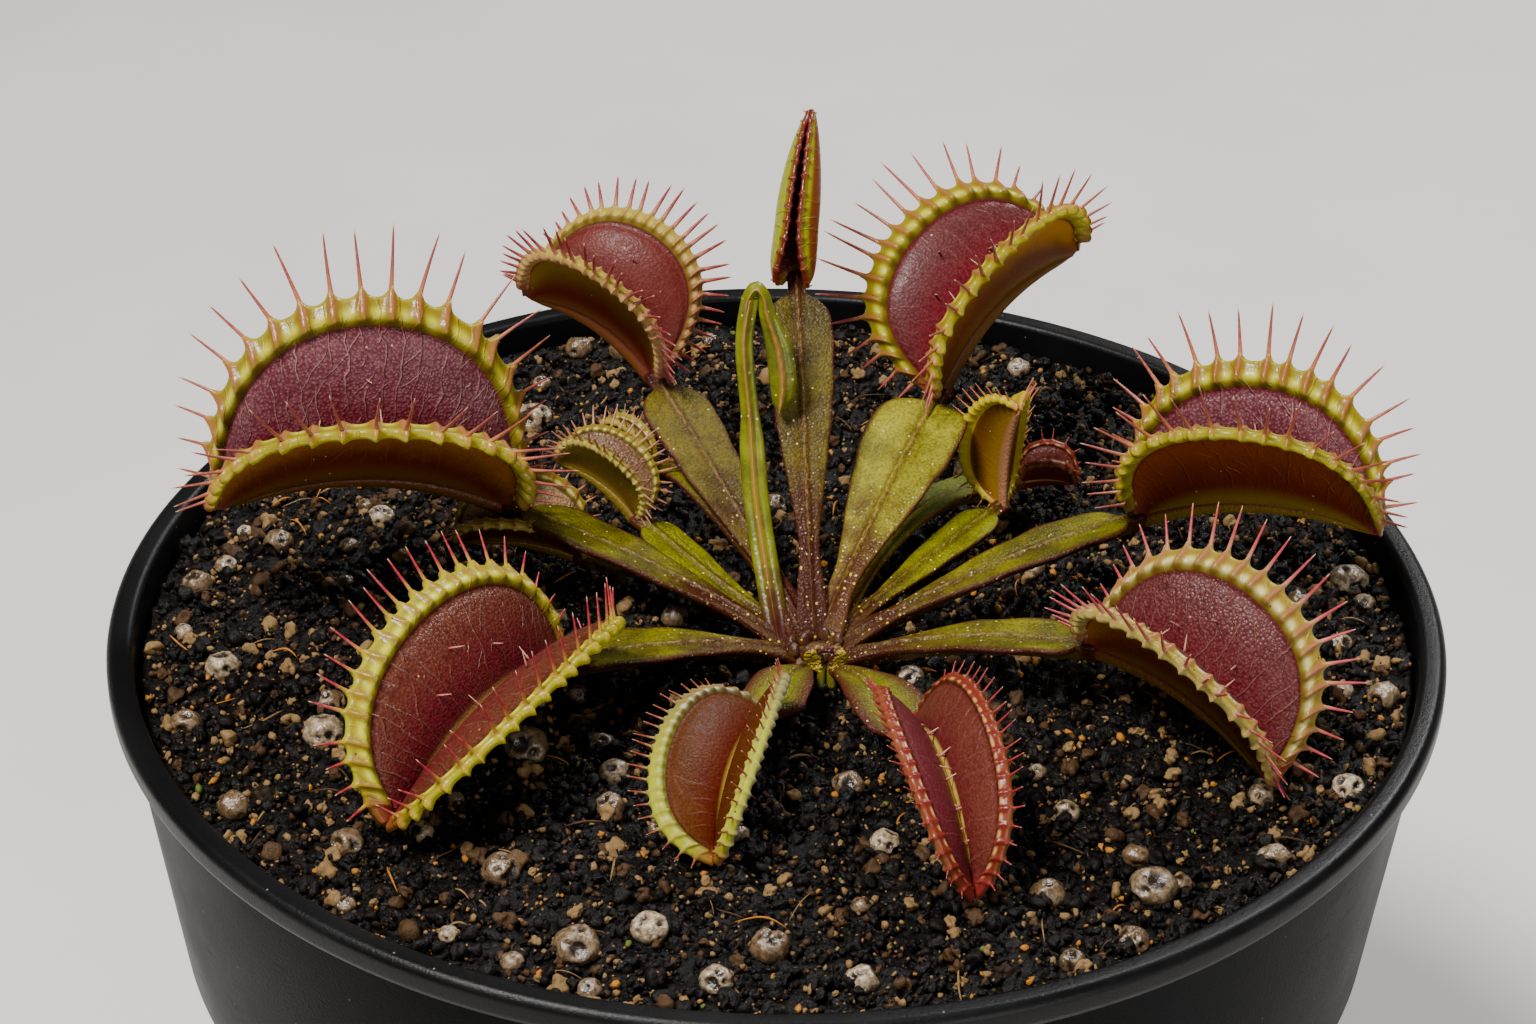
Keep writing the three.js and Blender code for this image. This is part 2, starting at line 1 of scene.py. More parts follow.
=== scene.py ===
"""A venus flytrap in a round nursery pot, dressed for the render.

Plant shapes are worked out in millimetres from the middle of the pot's rim, +Z up, and turned into
metres from the middle of the pot's underside when a mesh is made.
"""
import functools
import math
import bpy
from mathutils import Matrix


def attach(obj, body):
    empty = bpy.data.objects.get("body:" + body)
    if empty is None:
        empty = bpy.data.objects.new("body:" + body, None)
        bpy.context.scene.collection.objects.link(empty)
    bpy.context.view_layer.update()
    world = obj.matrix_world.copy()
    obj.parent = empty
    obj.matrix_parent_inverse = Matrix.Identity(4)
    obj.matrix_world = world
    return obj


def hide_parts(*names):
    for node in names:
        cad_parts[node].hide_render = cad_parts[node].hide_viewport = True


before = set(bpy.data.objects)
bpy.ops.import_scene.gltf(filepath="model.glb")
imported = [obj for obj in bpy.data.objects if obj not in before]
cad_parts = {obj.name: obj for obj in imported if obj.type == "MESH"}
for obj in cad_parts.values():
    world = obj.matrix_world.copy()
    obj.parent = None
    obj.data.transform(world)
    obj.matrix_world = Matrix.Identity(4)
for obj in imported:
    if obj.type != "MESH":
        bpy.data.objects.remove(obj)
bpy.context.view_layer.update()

from types import SimpleNamespace as Sizes

import bmesh
import bpy
import numpy as np
from mathutils import Matrix, Vector

MM = 0.001
BLACK = (0, 0, 0)

# ---------------------------------------------------------------- sizes

POT = Sizes(height=98.0, rim_radius=60.0, lip_width=2.4, lip_height=2.8, collar_radius=58.6,
            collar_height=30.0, collar_taper=3.2, step_in=0.7, step_height=1.0, base_radius=43.0,
            wall=1.3, floor=1.6, edge=0.6, throat=6.0, draft=0.2, drains=6, drain_radius=4.0,
            drain_circle=29.0, sides=240, drain_sides=40)
SOIL = Sizes(edge_depth=3.0, mound=0.5, bump=0.28, clearance=0.55, sides=420)
CROWN = Sizes(x=3.5, y=-7.0, radius=3.5, top=-0.2, depth=5.0, buds=9)
STALK = Sizes(neck=1.7, thick=1.5, edge=0.7, keel=0.45, cup=0.22, start=0.75, short=0.1)
LOBE = Sizes(thick=0.8, bulge=0.12, coarse=7, fine=11)
TOOTH = Sizes(steps=12, sides=8, squash=0.85, root=0.5)
HAIR = Sizes(steps=5, sides=6, longest=1.5, share=0.09, thick=0.10)
MIDRIB = Sizes(radius=0.75, keel=0.5, taper=0.45, slim=0.7, small=12.5, steps=22, sides=14)
PERLITE = Sizes(count=95, smallest=0.8, spread=1.1, fine_from=1.2)
FIBRES = 150

# The shape of every leaf, as in the part: joint (mm from the middle of the rim), heading and pitch of
# the trap's midrib, roll about it, how far each lobe leans, the midrib's length and arch, the lobe's
# height, how far the rim overhangs the midrib's ends and how square its shoulders are. Then the looks:
# teeth on each lobe and their length, and for the two lobes the width of the margin's thick band and
# the teeth's lean over the mouth, and the colouring. Last comes the stalk: the angle and height that
# it starts at on the crown, its width, its twist and how far it bows up, or the points it goes through.
LEAF_KEYS = ("name joint heading pitch roll open length arch height over square "
             "teeth tooth bands leans look start low wide twist lift").split()
USUAL_LEAF = dict(taper=0.0, bulge=LOBE.bulge, foot=0.0, thin=1.0, stout=1.0, stalk="olive",
                  cup=STALK.cup, via=None, hairs=((0.36, 0.42), (0.62, 0.42), (0.49, 0.6)))


def leaf_of(*values, **more):
    """A leaf with its values in the order of LEAF_KEYS, and as usual where it says nothing."""
    return Sizes(**{**USUAL_LEAF, **dict(zip(LEAF_KEYS, values)), **more})


LEAVES = [
    leaf_of("01", (-25, 7.5, 5), 191, 6, 18, (28, 27), 25.5, 3.8, 17, 1.07, 0.55,
            20, 6.8, (1.5, 2.2), (36, 14), "wine", 163, -0.9, 6.6, 14, 1.0),
    leaf_of("02", (-11.9, 19.4, 12.2), 153, 21, -3, (35, 34), 13.5, 1.6, 10.9, 1.14, 0.47,
            27, 4.0, (1.0, 1.3), (30, 14), "rose", 124, 0.2, 6.6, 0, 0.6,
            stout=1.3, stalk="dusky"),
    leaf_of("03", (1.5, 20, 22.8), 80, 58, 0, (6, 7), 14.85, 0.4, 5.2, 1.0, 0.42,
            14, 0.4, (0.35, 0.35), (60, 60), "closed", 97, 1.0, 6.2, 0, 0.8,
            thin=0.55, bulge=-0.36, taper=0.8, foot=1.7, hairs=(), stalk="dusky"),
    leaf_of("05", (15.2, 20.2, 10.3), 41, 28, 13, (39, 40), 18.6, 2.1, 11.6, 1.1, 0.43,
            20, 5.8, (1.9, 1.2), (14, 28), "ochre", 66, 0.4, 9.2, 0, 0.8, stalk="pale"),
    leaf_of("06", (20.9, 12, 2.7), -62, 80, 14, (34, 34), 11.4, 1.2, 6, 1.04, 0.5,
            18, 2.2, (1.15, 0.9), (14, 14), "amber", 40, -0.7, 4.2, 0, 0.4,
            taper=0.6, stalk="fresh"),
    leaf_of("07", (33.6, 7.5, 4.5), -20, 8, -11, (22, 22), 21.2, 2.4, 13.2, 1.07, 0.58,
            20, 5.6, (2.0, 1.3), (14, 32), "sienna", 18, -0.9, 6.6, -14, 1.2),
    leaf_of("08", (27.9, -12.5, 3.3), -40, -16, -5, (33, 33), 18.6, 2.1, 12.3, 1.12, 0.53,
            21, 4.8, (1.8, 1.1), (14, 26), "plum", -17, -1.4, 6.8, -10, 1.4),
    leaf_of("09", (11.9, -22.9, 0.3), 283, -6, 1, (28, 38), 17.6, 3.2, 7.4, 1.2, 0.42,
            24, 2.1, (0.65, 0.55), (14, 14), "crimson", -62, -1.4, 6.6, 0, 1.6,
            hairs=((0.2, 0.3), (0.33, 0.34), (0.46, 0.32), (0.58, 0.36), (0.7, 0.33), (0.82, 0.36)),
            stalk="shade"),
    leaf_of("10", (-0.9, -20.4, 0.9), 257, -8, -21, (46, 46), 16.4, 1.4, 7, 1.15, 0.5,
            23, 2.2, (0.6, 1.0), (70, 14), "peach", -107, -1.4, 5.8, 0, 1.4,
            hairs=(), stalk="shade"),
    leaf_of("11", (-19.4, -12.2, 0.7), 240, -3, 8, (41, 42), 23, 2.5, 11.5, 1.22, 0.54,
            22, 4.4, (0.55, 1.6), (84, 14), "lime", 188, -1.1, 7.6, 12, 1.2),
    leaf_of("12", (-13.1, 7.6, 3.8), 155, 27, -11, (30, 30), 8.8, 0.8, 4.9, 1.09, 0.53,
            21, 2.4, (0.6, 0.6), (14, 14), "olive", 143, -0.9, 4.2, 0, -0.3,
            stout=1.15, stalk="fresh"),
    leaf_of("13", (-11.8, 13.4, 5.6), 140, 8, 0, (14, 14), 6, 0.4, 3.2, 1.04, 0.55,
            12, 1.3, (0.4, 0.4), (14, 14), "olive", 133, 0.2, 3.4, 0,
            via=[(-4.2, 5.6, 4.4), (-8.7, 10.6, 6.6)]),
    leaf_of("14", (-18.5, 8.1, -0.8), 180, 8, 12, (34, 34), 10.7, 1, 6.8, 1.12, 0.58,
            16, 2.2, (0.8, 0.8), (14, 14), "russet", 150, -0.7, 3.4, 0,
            stalk="fresh", via=[(-9.5, 4.6, -0.7)]),
    leaf_of("15", (23.2, 20.5, 0.1), -6, 4, -6, (28, 28), 5, 0.4, 3.6, 1.06, 0.55,
            10, 1.3, (0.4, 0.4), (14, 14), "crimson", 54, -0.6, 3.8, 0,
            stalk="sprout", cup=0.5, via=[(9.8, 6.6, 1), (13.8, 13, 1.5), (18.6, 18.2, 0.5)]),
]

# The young folded leaf: its stalk goes up and its trap hangs back down beside it.
FOLDED = Sizes(
    stalk=[(0.4, -6.3, -1.1), (-1.9, 3, 8.7), (-2.5, 6.5, 15), (-3.1, 8.5, 22.1), (-2.6, 9.4, 25.9)],
    top=[(-3.05, 9.0, 24.0), (-2.75, 9.3, 26.0), (-2.1, 9.5, 26.9), (-1.45, 9.4, 26.2)],
    trap=[(-2.1, 9.5, 26.9), (-1.1, 9.1, 24.6), (0, 8.5, 21.1), (0.4, 8, 17.8), (0.1, 7.8, 15.3)],
    stalk_width=2.3, arm_width=1.6, neck=1.1, trap_width=2.5)
CURLED = Sizes(place=np.array([4.4, -10.6, -0.9]), droop=math.radians(26))

# Colours are linear red, green, blue. The first three of a trap's are for its inside, the next three
# for its margin, the second of them also painted as a highlight on the band's beads, two for its
# back, then come the teeth and the seam along the midrib.
LOOK_KEYS = "deep inside dust band glow ridge back back_dark tooth seam".split()
# One of these values sets how dark the painted shade between the pebbles inside a trap is.
USUAL_LOOK = dict(deep_to=0.72, gaps=0.55, left=None, seam_at=0.16, veins=1.0, tip=None, keel=0.6,
                  keel_tint=None, strip=0.88, blush=None, gloss=0.20, shine=0.38, relief=0.00012)


def look_of(*colors, base=None, **more):
    """A look with its colours in the order of LOOK_KEYS, or another look with some values changed."""
    known = vars(base) if base else USUAL_LOOK
    return Sizes(**{**known, **dict(zip(LOOK_KEYS, colors)), **more})


LOOKS = {
    "wine": look_of(
        (0.16, 0.001, 0.012), (0.095, 0.016, 0.024), (0.36, 0.17, 0.18), (0.25, 0.205, 0.004),
        (0.6, 0.55, 0.04), (0.4, 0.13, 0.055), (0.42, 0.15, 0.003), (0.085, 0.01, 0.001),
        (0.27, 0.055, 0.044), (0.14, 0.03, 0.02), keel=0.25, gloss=0.1, shine=0.28),
    "plum": look_of(
        (0.1, 0.003, 0.008), (0.078, 0.012, 0.013), (0.19, 0.065, 0.058), (0.27, 0.2, 0.02),
        (0.66, 0.58, 0.24), (0.4, 0.16, 0.1), (0.36, 0.125, 0.008), (0.15, 0.026, 0.003),
        (0.36, 0.04, 0.055), (0.18, 0.03, 0.02), gloss=0.05, shine=0.2, veins=0.6),
    "rose": look_of(
        (0.07, 0.004, 0.006), (0.096, 0.012, 0.009), (0.17, 0.036, 0.026), (0.27, 0.13, 0.03),
        (0.66, 0.46, 0.22), (0.4, 0.14, 0.09), (0.25, 0.15, 0.006), (0.11, 0.012, 0.005),
        (0.22, 0.03, 0.036), (0.12, 0.02, 0.02), veins=0.12, gloss=0.02, shine=0.12,
        relief=0.00004, gaps=0.22, tip=(0.34, 0.29, 0.02)),
    "closed": look_of(
        (0.05, 0.003, 0.003), (0.12, 0.006, 0.004), (0.14, 0.012, 0.006), (0.09, 0.006, 0.003),
        (0.17, 0.022, 0.007), (0.24, 0.035, 0.014), (0.27, 0.29, 0.004), (0.17, 0.18, 0.003),
        (0.3, 0.05, 0.02), (0.1, 0.01, 0.01), blush=(0.17, 0.012, 0.005), strip=0.965),
    "amber": look_of(
        (0.085, 0.022, 0.003), (0.105, 0.062, 0.003), (0.2, 0.12, 0.01), (0.36, 0.27, 0.003),
        (0.66, 0.54, 0.03), (0.44, 0.26, 0.02), (0.115, 0.04, 0.002), (0.2, 0.105, 0.004),
        (0.4, 0.11, 0.05), (0.26, 0.1, 0.05), keel=0.9, keel_tint=(0.3, 0.13, 0.07), strip=0.8,
        seam_at=0.22, veins=0.2, gloss=0.08, shine=0.25),
    "crimson": look_of(
        (0.1, 0.003, 0.008), (0.098, 0.018, 0.011), (0.18, 0.055, 0.036), (0.15, 0.02, 0.008),
        (0.6, 0.36, 0.12), (0.15, 0.012, 0.01), (0.22, 0.03, 0.01), (0.12, 0.012, 0.006),
        (0.28, 0.025, 0.03), (0.62, 0.44, 0.1), seam_at=0.3, veins=0.25, gloss=0.05, shine=0.22,
        relief=0.00008, left=(0.085, 0.003, 0.012), gaps=0.3),
    "peach": look_of(
        (0.085, 0.006, 0.001), (0.062, 0.016, 0.002), (0.135, 0.042, 0.006), (0.15, 0.14, 0.05),
        (0.6, 0.58, 0.38), (0.3, 0.22, 0.08), (0.3, 0.11, 0.02), (0.2, 0.05, 0.01),
        (0.21, 0.04, 0.02), (0.46, 0.33, 0.05), tip=(0.36, 0.38, 0.004), veins=0.2, gloss=0.0,
        shine=0.1, relief=0.00005, gaps=0.25),
    "lime": look_of(
        (0.12, 0.0005, 0.01), (0.078, 0.016, 0.005), (0.17, 0.052, 0.022), (0.3, 0.26, 0.003),
        (0.66, 0.62, 0.04), (0.36, 0.22, 0.02), (0.24, 0.07, 0.01), (0.1, 0.018, 0.008),
        (0.3, 0.014, 0.03), (0.46, 0.32, 0.11), seam_at=0.14, deep_to=0.88, veins=0.5, gloss=0.08,
        shine=0.28),
    "olive": look_of(
        (0.085, 0.026, 0.008), (0.115, 0.052, 0.02), (0.22, 0.12, 0.06), (0.25, 0.19, 0.012),
        (0.6, 0.5, 0.18), (0.34, 0.18, 0.05), (0.15, 0.105, 0.006), (0.075, 0.04, 0.004),
        (0.32, 0.12, 0.08), (0.2, 0.1, 0.02), gloss=0.06, shine=0.25, veins=0.3),
}
LOOKS["sienna"] = look_of(base=LOOKS["wine"], back=(0.24, 0.040, 0.001), back_dark=(0.10, 0.010, 0.001),
                          keel=0.8)
LOOKS["russet"] = look_of(base=LOOKS["olive"], back=(0.13, 0.022, 0.004), inside=(0.24, 0.15, 0.06),
                          back_dark=(0.06, 0.006, 0.002), dust=(0.36, 0.24, 0.12))
LOOKS["ochre"] = look_of(base=LOOKS["wine"], back=(0.46, 0.20, 0.005), inside=(0.075, 0.010, 0.011),
                         back_dark=(0.11, 0.026, 0.002), dust=(0.18, 0.060, 0.050), veins=0.22,
                         gloss=0.03, shine=0.2, relief=0.00004)


# ---------------------------------------------------------------- meshes

def smoothstep(low, high, value):
    x = np.clip((value - low) / (high - low), 0.0, 1.0)
    return x * x * (3.0 - 2.0 * x)


def around(count):
    """Angles evenly round a circle."""
    return np.linspace(0, 2 * np.pi, count, endpoint=False)


def tube(centre, radius, x_axis, y_axis, sides, squash=1.0):
    """Rings of points about a line of centres."""
    ring = around(sides)
    circle = np.cos(ring)[:, None] * x_axis + np.sin(ring)[:, None] * y_axis * squash
    return centre[:, None] + radius[:, None, None] * circle[None]


def new_object(name, data):
    made = bpy.data.objects.new(name, data)
    bpy.context.scene.collection.objects.link(made)
    return made


class Shape:
    """Vertices in millimetres, faces and values on the vertices, gathered for one mesh."""

    def __init__(self):
        self.points, self.faces, self.values, self.materials = [], [], [], []
        self.count = 0

    def add(self, points, faces, material=0, **values):
        points = np.asarray(points, float).reshape(-1, 3)
        self.points.append(points)
        self.add_faces(faces, self.count, material)
        self.values.append((len(points), values))
        self.count += len(points)

    def add_faces(self, faces, start, material):
        self.faces.append(np.asarray(faces, int) + start)
        self.materials.append(np.full(len(faces), material))

    def ring_skin(self, rings, material=0, **values):
        """A closed skin over rings of points (rings x points x 3), with a cap at each end."""
        rings = np.asarray(rings, float)
        n, m = rings.shape[:2]
        k = np.arange(n - 1)[:, None] * m
        i = np.arange(m)
        j = (i + 1) % m
        quads = np.stack([k + i, k + j, k + m + j, k + m + i], -1).reshape(-1, 4)
        ends = np.stack([rings[0].mean(0), rings[-1].mean(0)])
        points = np.concatenate([rings.reshape(-1, 3), ends])
        full = {}
        for name, value in values.items():
            value = np.broadcast_to(np.asarray(value, float), (n, m) + np.shape(value)[2:])
            tail = np.stack([value[0].mean(0), value[-1].mean(0)])
            full[name] = np.concatenate([value.reshape((n * m,) + value.shape[2:]), tail])
        start, last_ring = self.count, (n - 1) * m
        self.add(points, quads, material, **full)
        for a, b, middle in ((j, i, n * m), (last_ring + i, last_ring + j, n * m + 1)):
            self.add_faces(np.stack([a, b, np.full(m, middle)], -1), start, material)

    def mesh(self, name):
        points = (np.concatenate(self.points) + (0.0, 0.0, POT.height)) * MM
        faces = [tuple(face) for block in self.faces for face in block.tolist()]
        made = bpy.data.meshes.new(name)
        made.from_pydata(points.tolist(), [], faces)
        return made

    def build(self, name, materials, replaces=None, slot=None):
        mesh = self.mesh(name)
        mesh.validate()
        mesh.polygons.foreach_set("use_smooth", [True] * len(mesh.polygons))
        index = np.concatenate(self.materials)
        if len(index) == len(mesh.polygons):
            mesh.polygons.foreach_set("material_index", index.astype(np.int32))
        for key in sorted({key for _, values in self.values for key in values}):
            vector = any(np.ndim(values.get(key, 0)) == 2 for _, values in self.values)
            data = np.zeros((self.count, 3) if vector else (self.count,))
            start = 0
            for size, values in self.values:
                if key in values:
                    data[start:start + size] = values[key]
                start += size
            layer = mesh.attributes.new(key, "FLOAT_VECTOR" if vector else "FLOAT", "POINT")
            layer.data.foreach_set("vector" if vector else "value", data.ravel().astype(np.float32))
        for material in materials:
            mesh.materials.append(material)
        piece = new_object(name, mesh)
        fix_normals(mesh)
        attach(piece, "root")
        if replaces:
            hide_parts(replaces)
        return piece


def fix_normals(mesh):
    """Turns every closed shell's faces outwards."""
    work = bmesh.new()
    work.from_mesh(mesh)
    bmesh.ops.recalc_face_normals(work, faces=work.faces)
    work.to_mesh(mesh)
    work.free()


def unit(vectors):
    vectors = np.asarray(vectors, float)
    return vectors / np.maximum(np.linalg.norm(vectors, axis=-1, keepdims=True), 1e-12)


def turned(vector, axis, angle):
    """The vector turned about a unit axis, by the right-hand rule."""
    vector, axis = np.asarray(vector, float), np.asarray(axis, float)
    cos, sin = math.cos(angle), math.sin(angle)
    return vector * cos + np.cross(axis, vector) * sin + axis * np.dot(axis, vector) * (1 - cos)


class Path:
    """A centripetal Catmull-Rom curve through points, measured by its length."""

    def __init__(self, points):
        p = [np.asarray(q, float) for q in points]
        p = [2 * p[0] - p[1]] + p + [2 * p[-1] - p[-2]]
        dense = []
        for k in range(1, len(p) - 2):
            p0, p1, p2, p3 = p[k - 1:k + 3]
            d = [max(np.linalg.norm(step) ** 0.5, 1e-4) for step in (p1 - p0, p2 - p1, p3 - p2)]
            a = ((p1 - p0) / d[0] - (p2 - p0) / (d[0] + d[1]) + (p2 - p1) / d[1]) * d[1]
            b = ((p2 - p1) / d[1] - (p3 - p1) / (d[1] + d[2]) + (p3 - p2) / d[2]) * d[1]
            x = np.linspace(0, 1, 101)[:, None]
            c2 = -3 * p1 + 3 * p2 - 2 * a - b
            c3 = 2 * p1 - 2 * p2 + a + b
            part = p1 + a * x + c2 * x ** 2 + c3 * x ** 3
            dense.append(part if k == 1 else part[1:])
        self.points = np.concatenate(dense)
        steps = np.linalg.norm(np.diff(self.points, axis=0), axis=1)
        self.run = np.concatenate([[0], np.cumsum(steps)])
        self.length = self.run[-1]

    def at(self, u):
        d = np.asarray(u) * self.length
        return np.stack([np.interp(d, self.run, self.points[:, i]) for i in range(3)], -1)

    def tangent(self, u):
        u = np.asarray(u)
        low, high = np.clip(u - 0.004, 0, 1), np.clip(u + 0.004, 0, 1)
        return unit(self.at(high) - self.at(low))


# ---------------------------------------------------------------- materials

class Graph:
    """A node material on the Principled shader, with short names for what it is built from."""

    def __init__(self, name, **sockets):
        self.material = bpy.data.materials.new(name)
        self.material.use_nodes = True
        self.tree = self.material.node_tree
        self.shader = self.tree.nodes["Principled BSDF"]
        for key, value in sockets.items():
            self.shader.inputs[key.replace("_", " ")].default_value = value
        self.place = self.node("TexCoord").outputs["Object"]

    def node(self, kind, *inputs, **settings):
        """A new node with these settings, and with values or links on its first inputs."""
        made = self.tree.nodes.new("ShaderNode" + kind)
        for key, value in settings.items():
            setattr(made, key, value)
        for socket, value in zip(made.inputs, inputs):
            self.put(socket, value)
        return made

    def put(self, socket, value):
        if isinstance(value, bpy.types.NodeSocket):
            self.tree.links.new(value, socket)
        elif socket.type == "RGBA" and len(value) == 3:
            socket.default_value = (*value, 1.0)
        else:
            socket.default_value = value

    def value(self, name, kind="Fac"):
        return self.node("Attribute", attribute_name=name).outputs[kind]

    def math(self, operation, *values):
        return self.node("Math", *values, operation=operation).outputs[0]

    def times(self, *values):
        return functools.reduce(functools.partial(self.math, "MULTIPLY"), values)

    def plus(self, *values):
        return functools.reduce(functools.partial(self.math, "ADD"), values)

    def minus(self, a, b):
        return self.math("SUBTRACT", a, b)

    def most(self, a, b):
        return self.math("MAXIMUM", a, b)

    def step(self, value, low, high, to_low=0.0, to_high=1.0):
        return self.node("MapRange", value, low, high, to_low, to_high,
                         interpolation_type="SMOOTHSTEP").outputs[0]

    def mix(self, factor, a, b):
        made = self.node("Mix", factor, data_type="RGBA")
        self.put(made.inputs[6], a)
        self.put(made.inputs[7], b)
        return made.outputs[2]

    def layers(self, color, *coats):
        """A colour with coats over it, each given as how much it covers and its colour."""
        for cover, coat in coats:
            color = self.mix(cover, color, coat)
        return color

    def scaled(self, vector, scale):
        return self.node("VectorMath", vector, scale, operation="MULTIPLY").outputs[0]

    def texture(self, kind, size, place=None, **settings):
        made = self.node("Tex" + kind, place or self.place, **settings)
        made.inputs["Scale"].default_value = 1.0 / size
        return made

    def noise(self, size, detail=3.0, rough=0.55, place=None):
        made = self.texture("Noise", size, place)
        made.inputs["Detail"].default_value = detail
        made.inputs["Roughness"].default_value = rough
        return made.outputs["Fac"]

    def cells(self, size, place=None, feature="F1"):
        return self.texture("Voronoi", size, place, feature=feature).outputs["Distance"]

    def specks(self, size, share, dot):
        """Small round dots in a share of the cells of a grid of this size."""
        grid = self.texture("Voronoi", size).outputs
        pick = self.node("SeparateColor", grid["Color"]).outputs[0]
        return self.times(self.step(grid["Distance"], dot, dot * 0.6),
                          self.math("GREATER_THAN", pick, 1.0 - share))

    def lines(self, value, wide, sharp):
        """Narrow lines, one to each whole number of the value."""
        off = self.math("ABSOLUTE", self.minus(self.math("FRACT", value), 0.5))
        return self.step(off, wide, sharp)

    def bump(self, height, distance, strength):
        made = self.node("Bump")
        for key, value in (("Strength", strength), ("Distance", distance), ("Height", height)):
            self.put(made.inputs[key], value)
        return made.outputs["Normal"]

    def finish(self, color, roughness=None, normal=None):
        for key, value in (("Base Color", color), ("Roughness", roughness),
                           ("Normal", normal), ("Coat Normal", normal)):
            if value is not None:
                self.put(self.shader.inputs[key], value)
        return self.material


LEAF_FLESH = dict(Subsurface_Weight=0.06, Subsurface_Radius=(0.0010, 0.0004, 0.0002),
                  Subsurface_Scale=0.5, Coat_Weight=0.20, Coat_Roughness=0.13, Specular_IOR_Level=0.38)


def trap_material(name, look):
    """The two faces of a trap's lobes, its margin and its teeth, told apart by values on the mesh."""
    g = Graph("trap_" + name, **dict(LEAF_FLESH, Coat_Weight=look.gloss, Specular_IOR_Level=look.shine))
    inner, out, edge, ridge, tooth, ends, bead = (
        g.value(key) for key in ("inner", "out", "edge", "ridge", "tooth", "ends", "bead"))
    flat = g.value("flat", "Vector")
    along, up, lobe = g.node("SeparateXYZ", flat).outputs
    left_lobe = g.math("LESS_THAN", lobe, 0.0)
    coarse, fine, pebble = g.noise(0.0035, 4), g.noise(0.0005, 3), g.cells(0.00027)
    # Veins run from the midrib to the rim, wandering a little, with slanting branches in places.
    wander = g.minus(g.noise(5.0, 1, 0.5, flat), 0.5)
    shiver = g.minus(g.noise(0.9, 2, 0.5, flat), 0.5)
    lane = g.plus(g.times(along, 0.60), g.plus(g.times(wander, 1.9), g.times(shiver, 0.28)))
    slant = g.plus(g.times(up, 0.45), g.times(lane, 0.8))
    branch = g.times(g.lines(slant, 0.075, 0.02), g.step(g.noise(1.8, 1, place=flat), 0.50, 0.62))
    faint = g.step(g.noise(2.6, 2, place=g.scaled(flat, (1.0, 0.6, 1.0))), 0.38, 0.58)
    vein = g.most(g.times(g.lines(lane, 0.095, 0.025), faint), branch)
    vein = g.times(vein, g.step(out, 0.08, 0.30, 0.0, look.veins))
    # Inside: deep red along the midrib, paler and browner outwards, with fine veins, a painted highlight
    # on each pebble's top and painted shade between the pebbles.
    pebble_highlight = g.times(g.step(pebble, 0.55, 0.05), g.step(out, 0.10, 0.65, 0.06, 0.36))
    inside = g.layers(
        look.deep,
        (g.step(out, 0.14, look.deep_to), look.inside),
        (g.step(coarse, 0.35, 0.75, 0.0, 0.18), look.dust),
        (pebble_highlight, look.dust),
        (g.step(pebble, 0.45, 0.85, 0.0, look.gaps), g.mix(0.6, look.deep, BLACK)))
    if look.left:
        inside = g.mix(g.times(left_lobe, 0.72), inside, look.left)
    inside = g.layers(
        inside,
        (g.step(out, look.seam_at + 0.04, look.seam_at - 0.04), look.seam),
        (g.times(vein, 0.46), g.mix(0.25, look.dust, (0.62, 0.30, 0.22))),
        (g.specks(0.0011, 0.10, 0.12), (0.50, 0.24, 0.13)))
    # The margin's band: beads between creases, and a ridge down from each tooth, with a painted highlight
    # on the beads' tops and painted shade darkening the creases and the hollows.
    band = g.layers(
        g.mix(0.60, look.band, look.back_dark),
        (g.step(bead, 0.05, 0.45), look.band),
        (g.step(g.plus(bead, g.times(coarse, 0.3)), 0.45, 1.25, 0.0, 0.80), look.glow))
    if look.tip:
        band = g.mix(g.step(along, 7.0, 18.0, 0.0, 0.75), band, look.tip)
    # Painted shade in the hollows between the ridges.
    hollow = g.times(g.step(edge, 0.02, 0.14), g.step(edge, 0.55, 0.22, 0.0, 0.70),
                     g.step(ridge, 0.5, 0.0))
    ridge_top = g.mix(g.step(edge, 0.15, 0.55), g.mix(0.35, look.glow, look.ridge), look.ridge)
    band = g.layers(
        band,
        (hollow, g.mix(0.62, look.band, BLACK)),
        (g.times(ridge, 0.52), ridge_top),
        (g.specks(0.0008, 0.06, 0.14), (0.08, 0.02, 0.005)))
    shade = g.times(g.step(edge, -0.16, -0.03), g.step(edge, 0.12, 0.0))
    inside = g.layers(
        inside, (g.step(edge, -0.04, 0.12), band), (g.times(shade, 0.7), g.mix(0.5, look.deep, BLACK)))
    # Outside: a pale green strip at the margin, then orange brown to dark in the middle.
    strip = look.strip
    keel = look.keel_tint or g.mix(0.3, look.band, look.back_dark)
    red_line = g.mix(0.6, look.back_dark, (0.16, 0.008, 0.002))
    back = g.layers(
        look.back_dark,
        (g.step(g.plus(out, g.times(coarse, 0.25)), 0.30, 0.86), look.back),
        (g.step(out, 0.20, 0.02, 0.0, look.keel), keel),
        (g.step(out, strip - 0.05, strip - 0.01, 0.0, 0.85), red_line),
        (g.step(out, strip + 0.005, strip + 0.035), g.mix(0.25, look.band, look.glow)))
    if look.blush:
        away = g.most(g.times(g.step(out, 0.90, 0.82), left_lobe), g.step(along, 5.5, 2.0))
        back = g.layers(
            back, (g.times(away, 0.9), look.blush), (g.step(out, 0.40, 0.15, 0.0, 0.8), look.blush))
    back = g.layers(
        back, (g.specks(0.0010, 0.42, 0.10), (0.60, 0.42, 0.22)), (g.times(vein, 0.15), look.back))
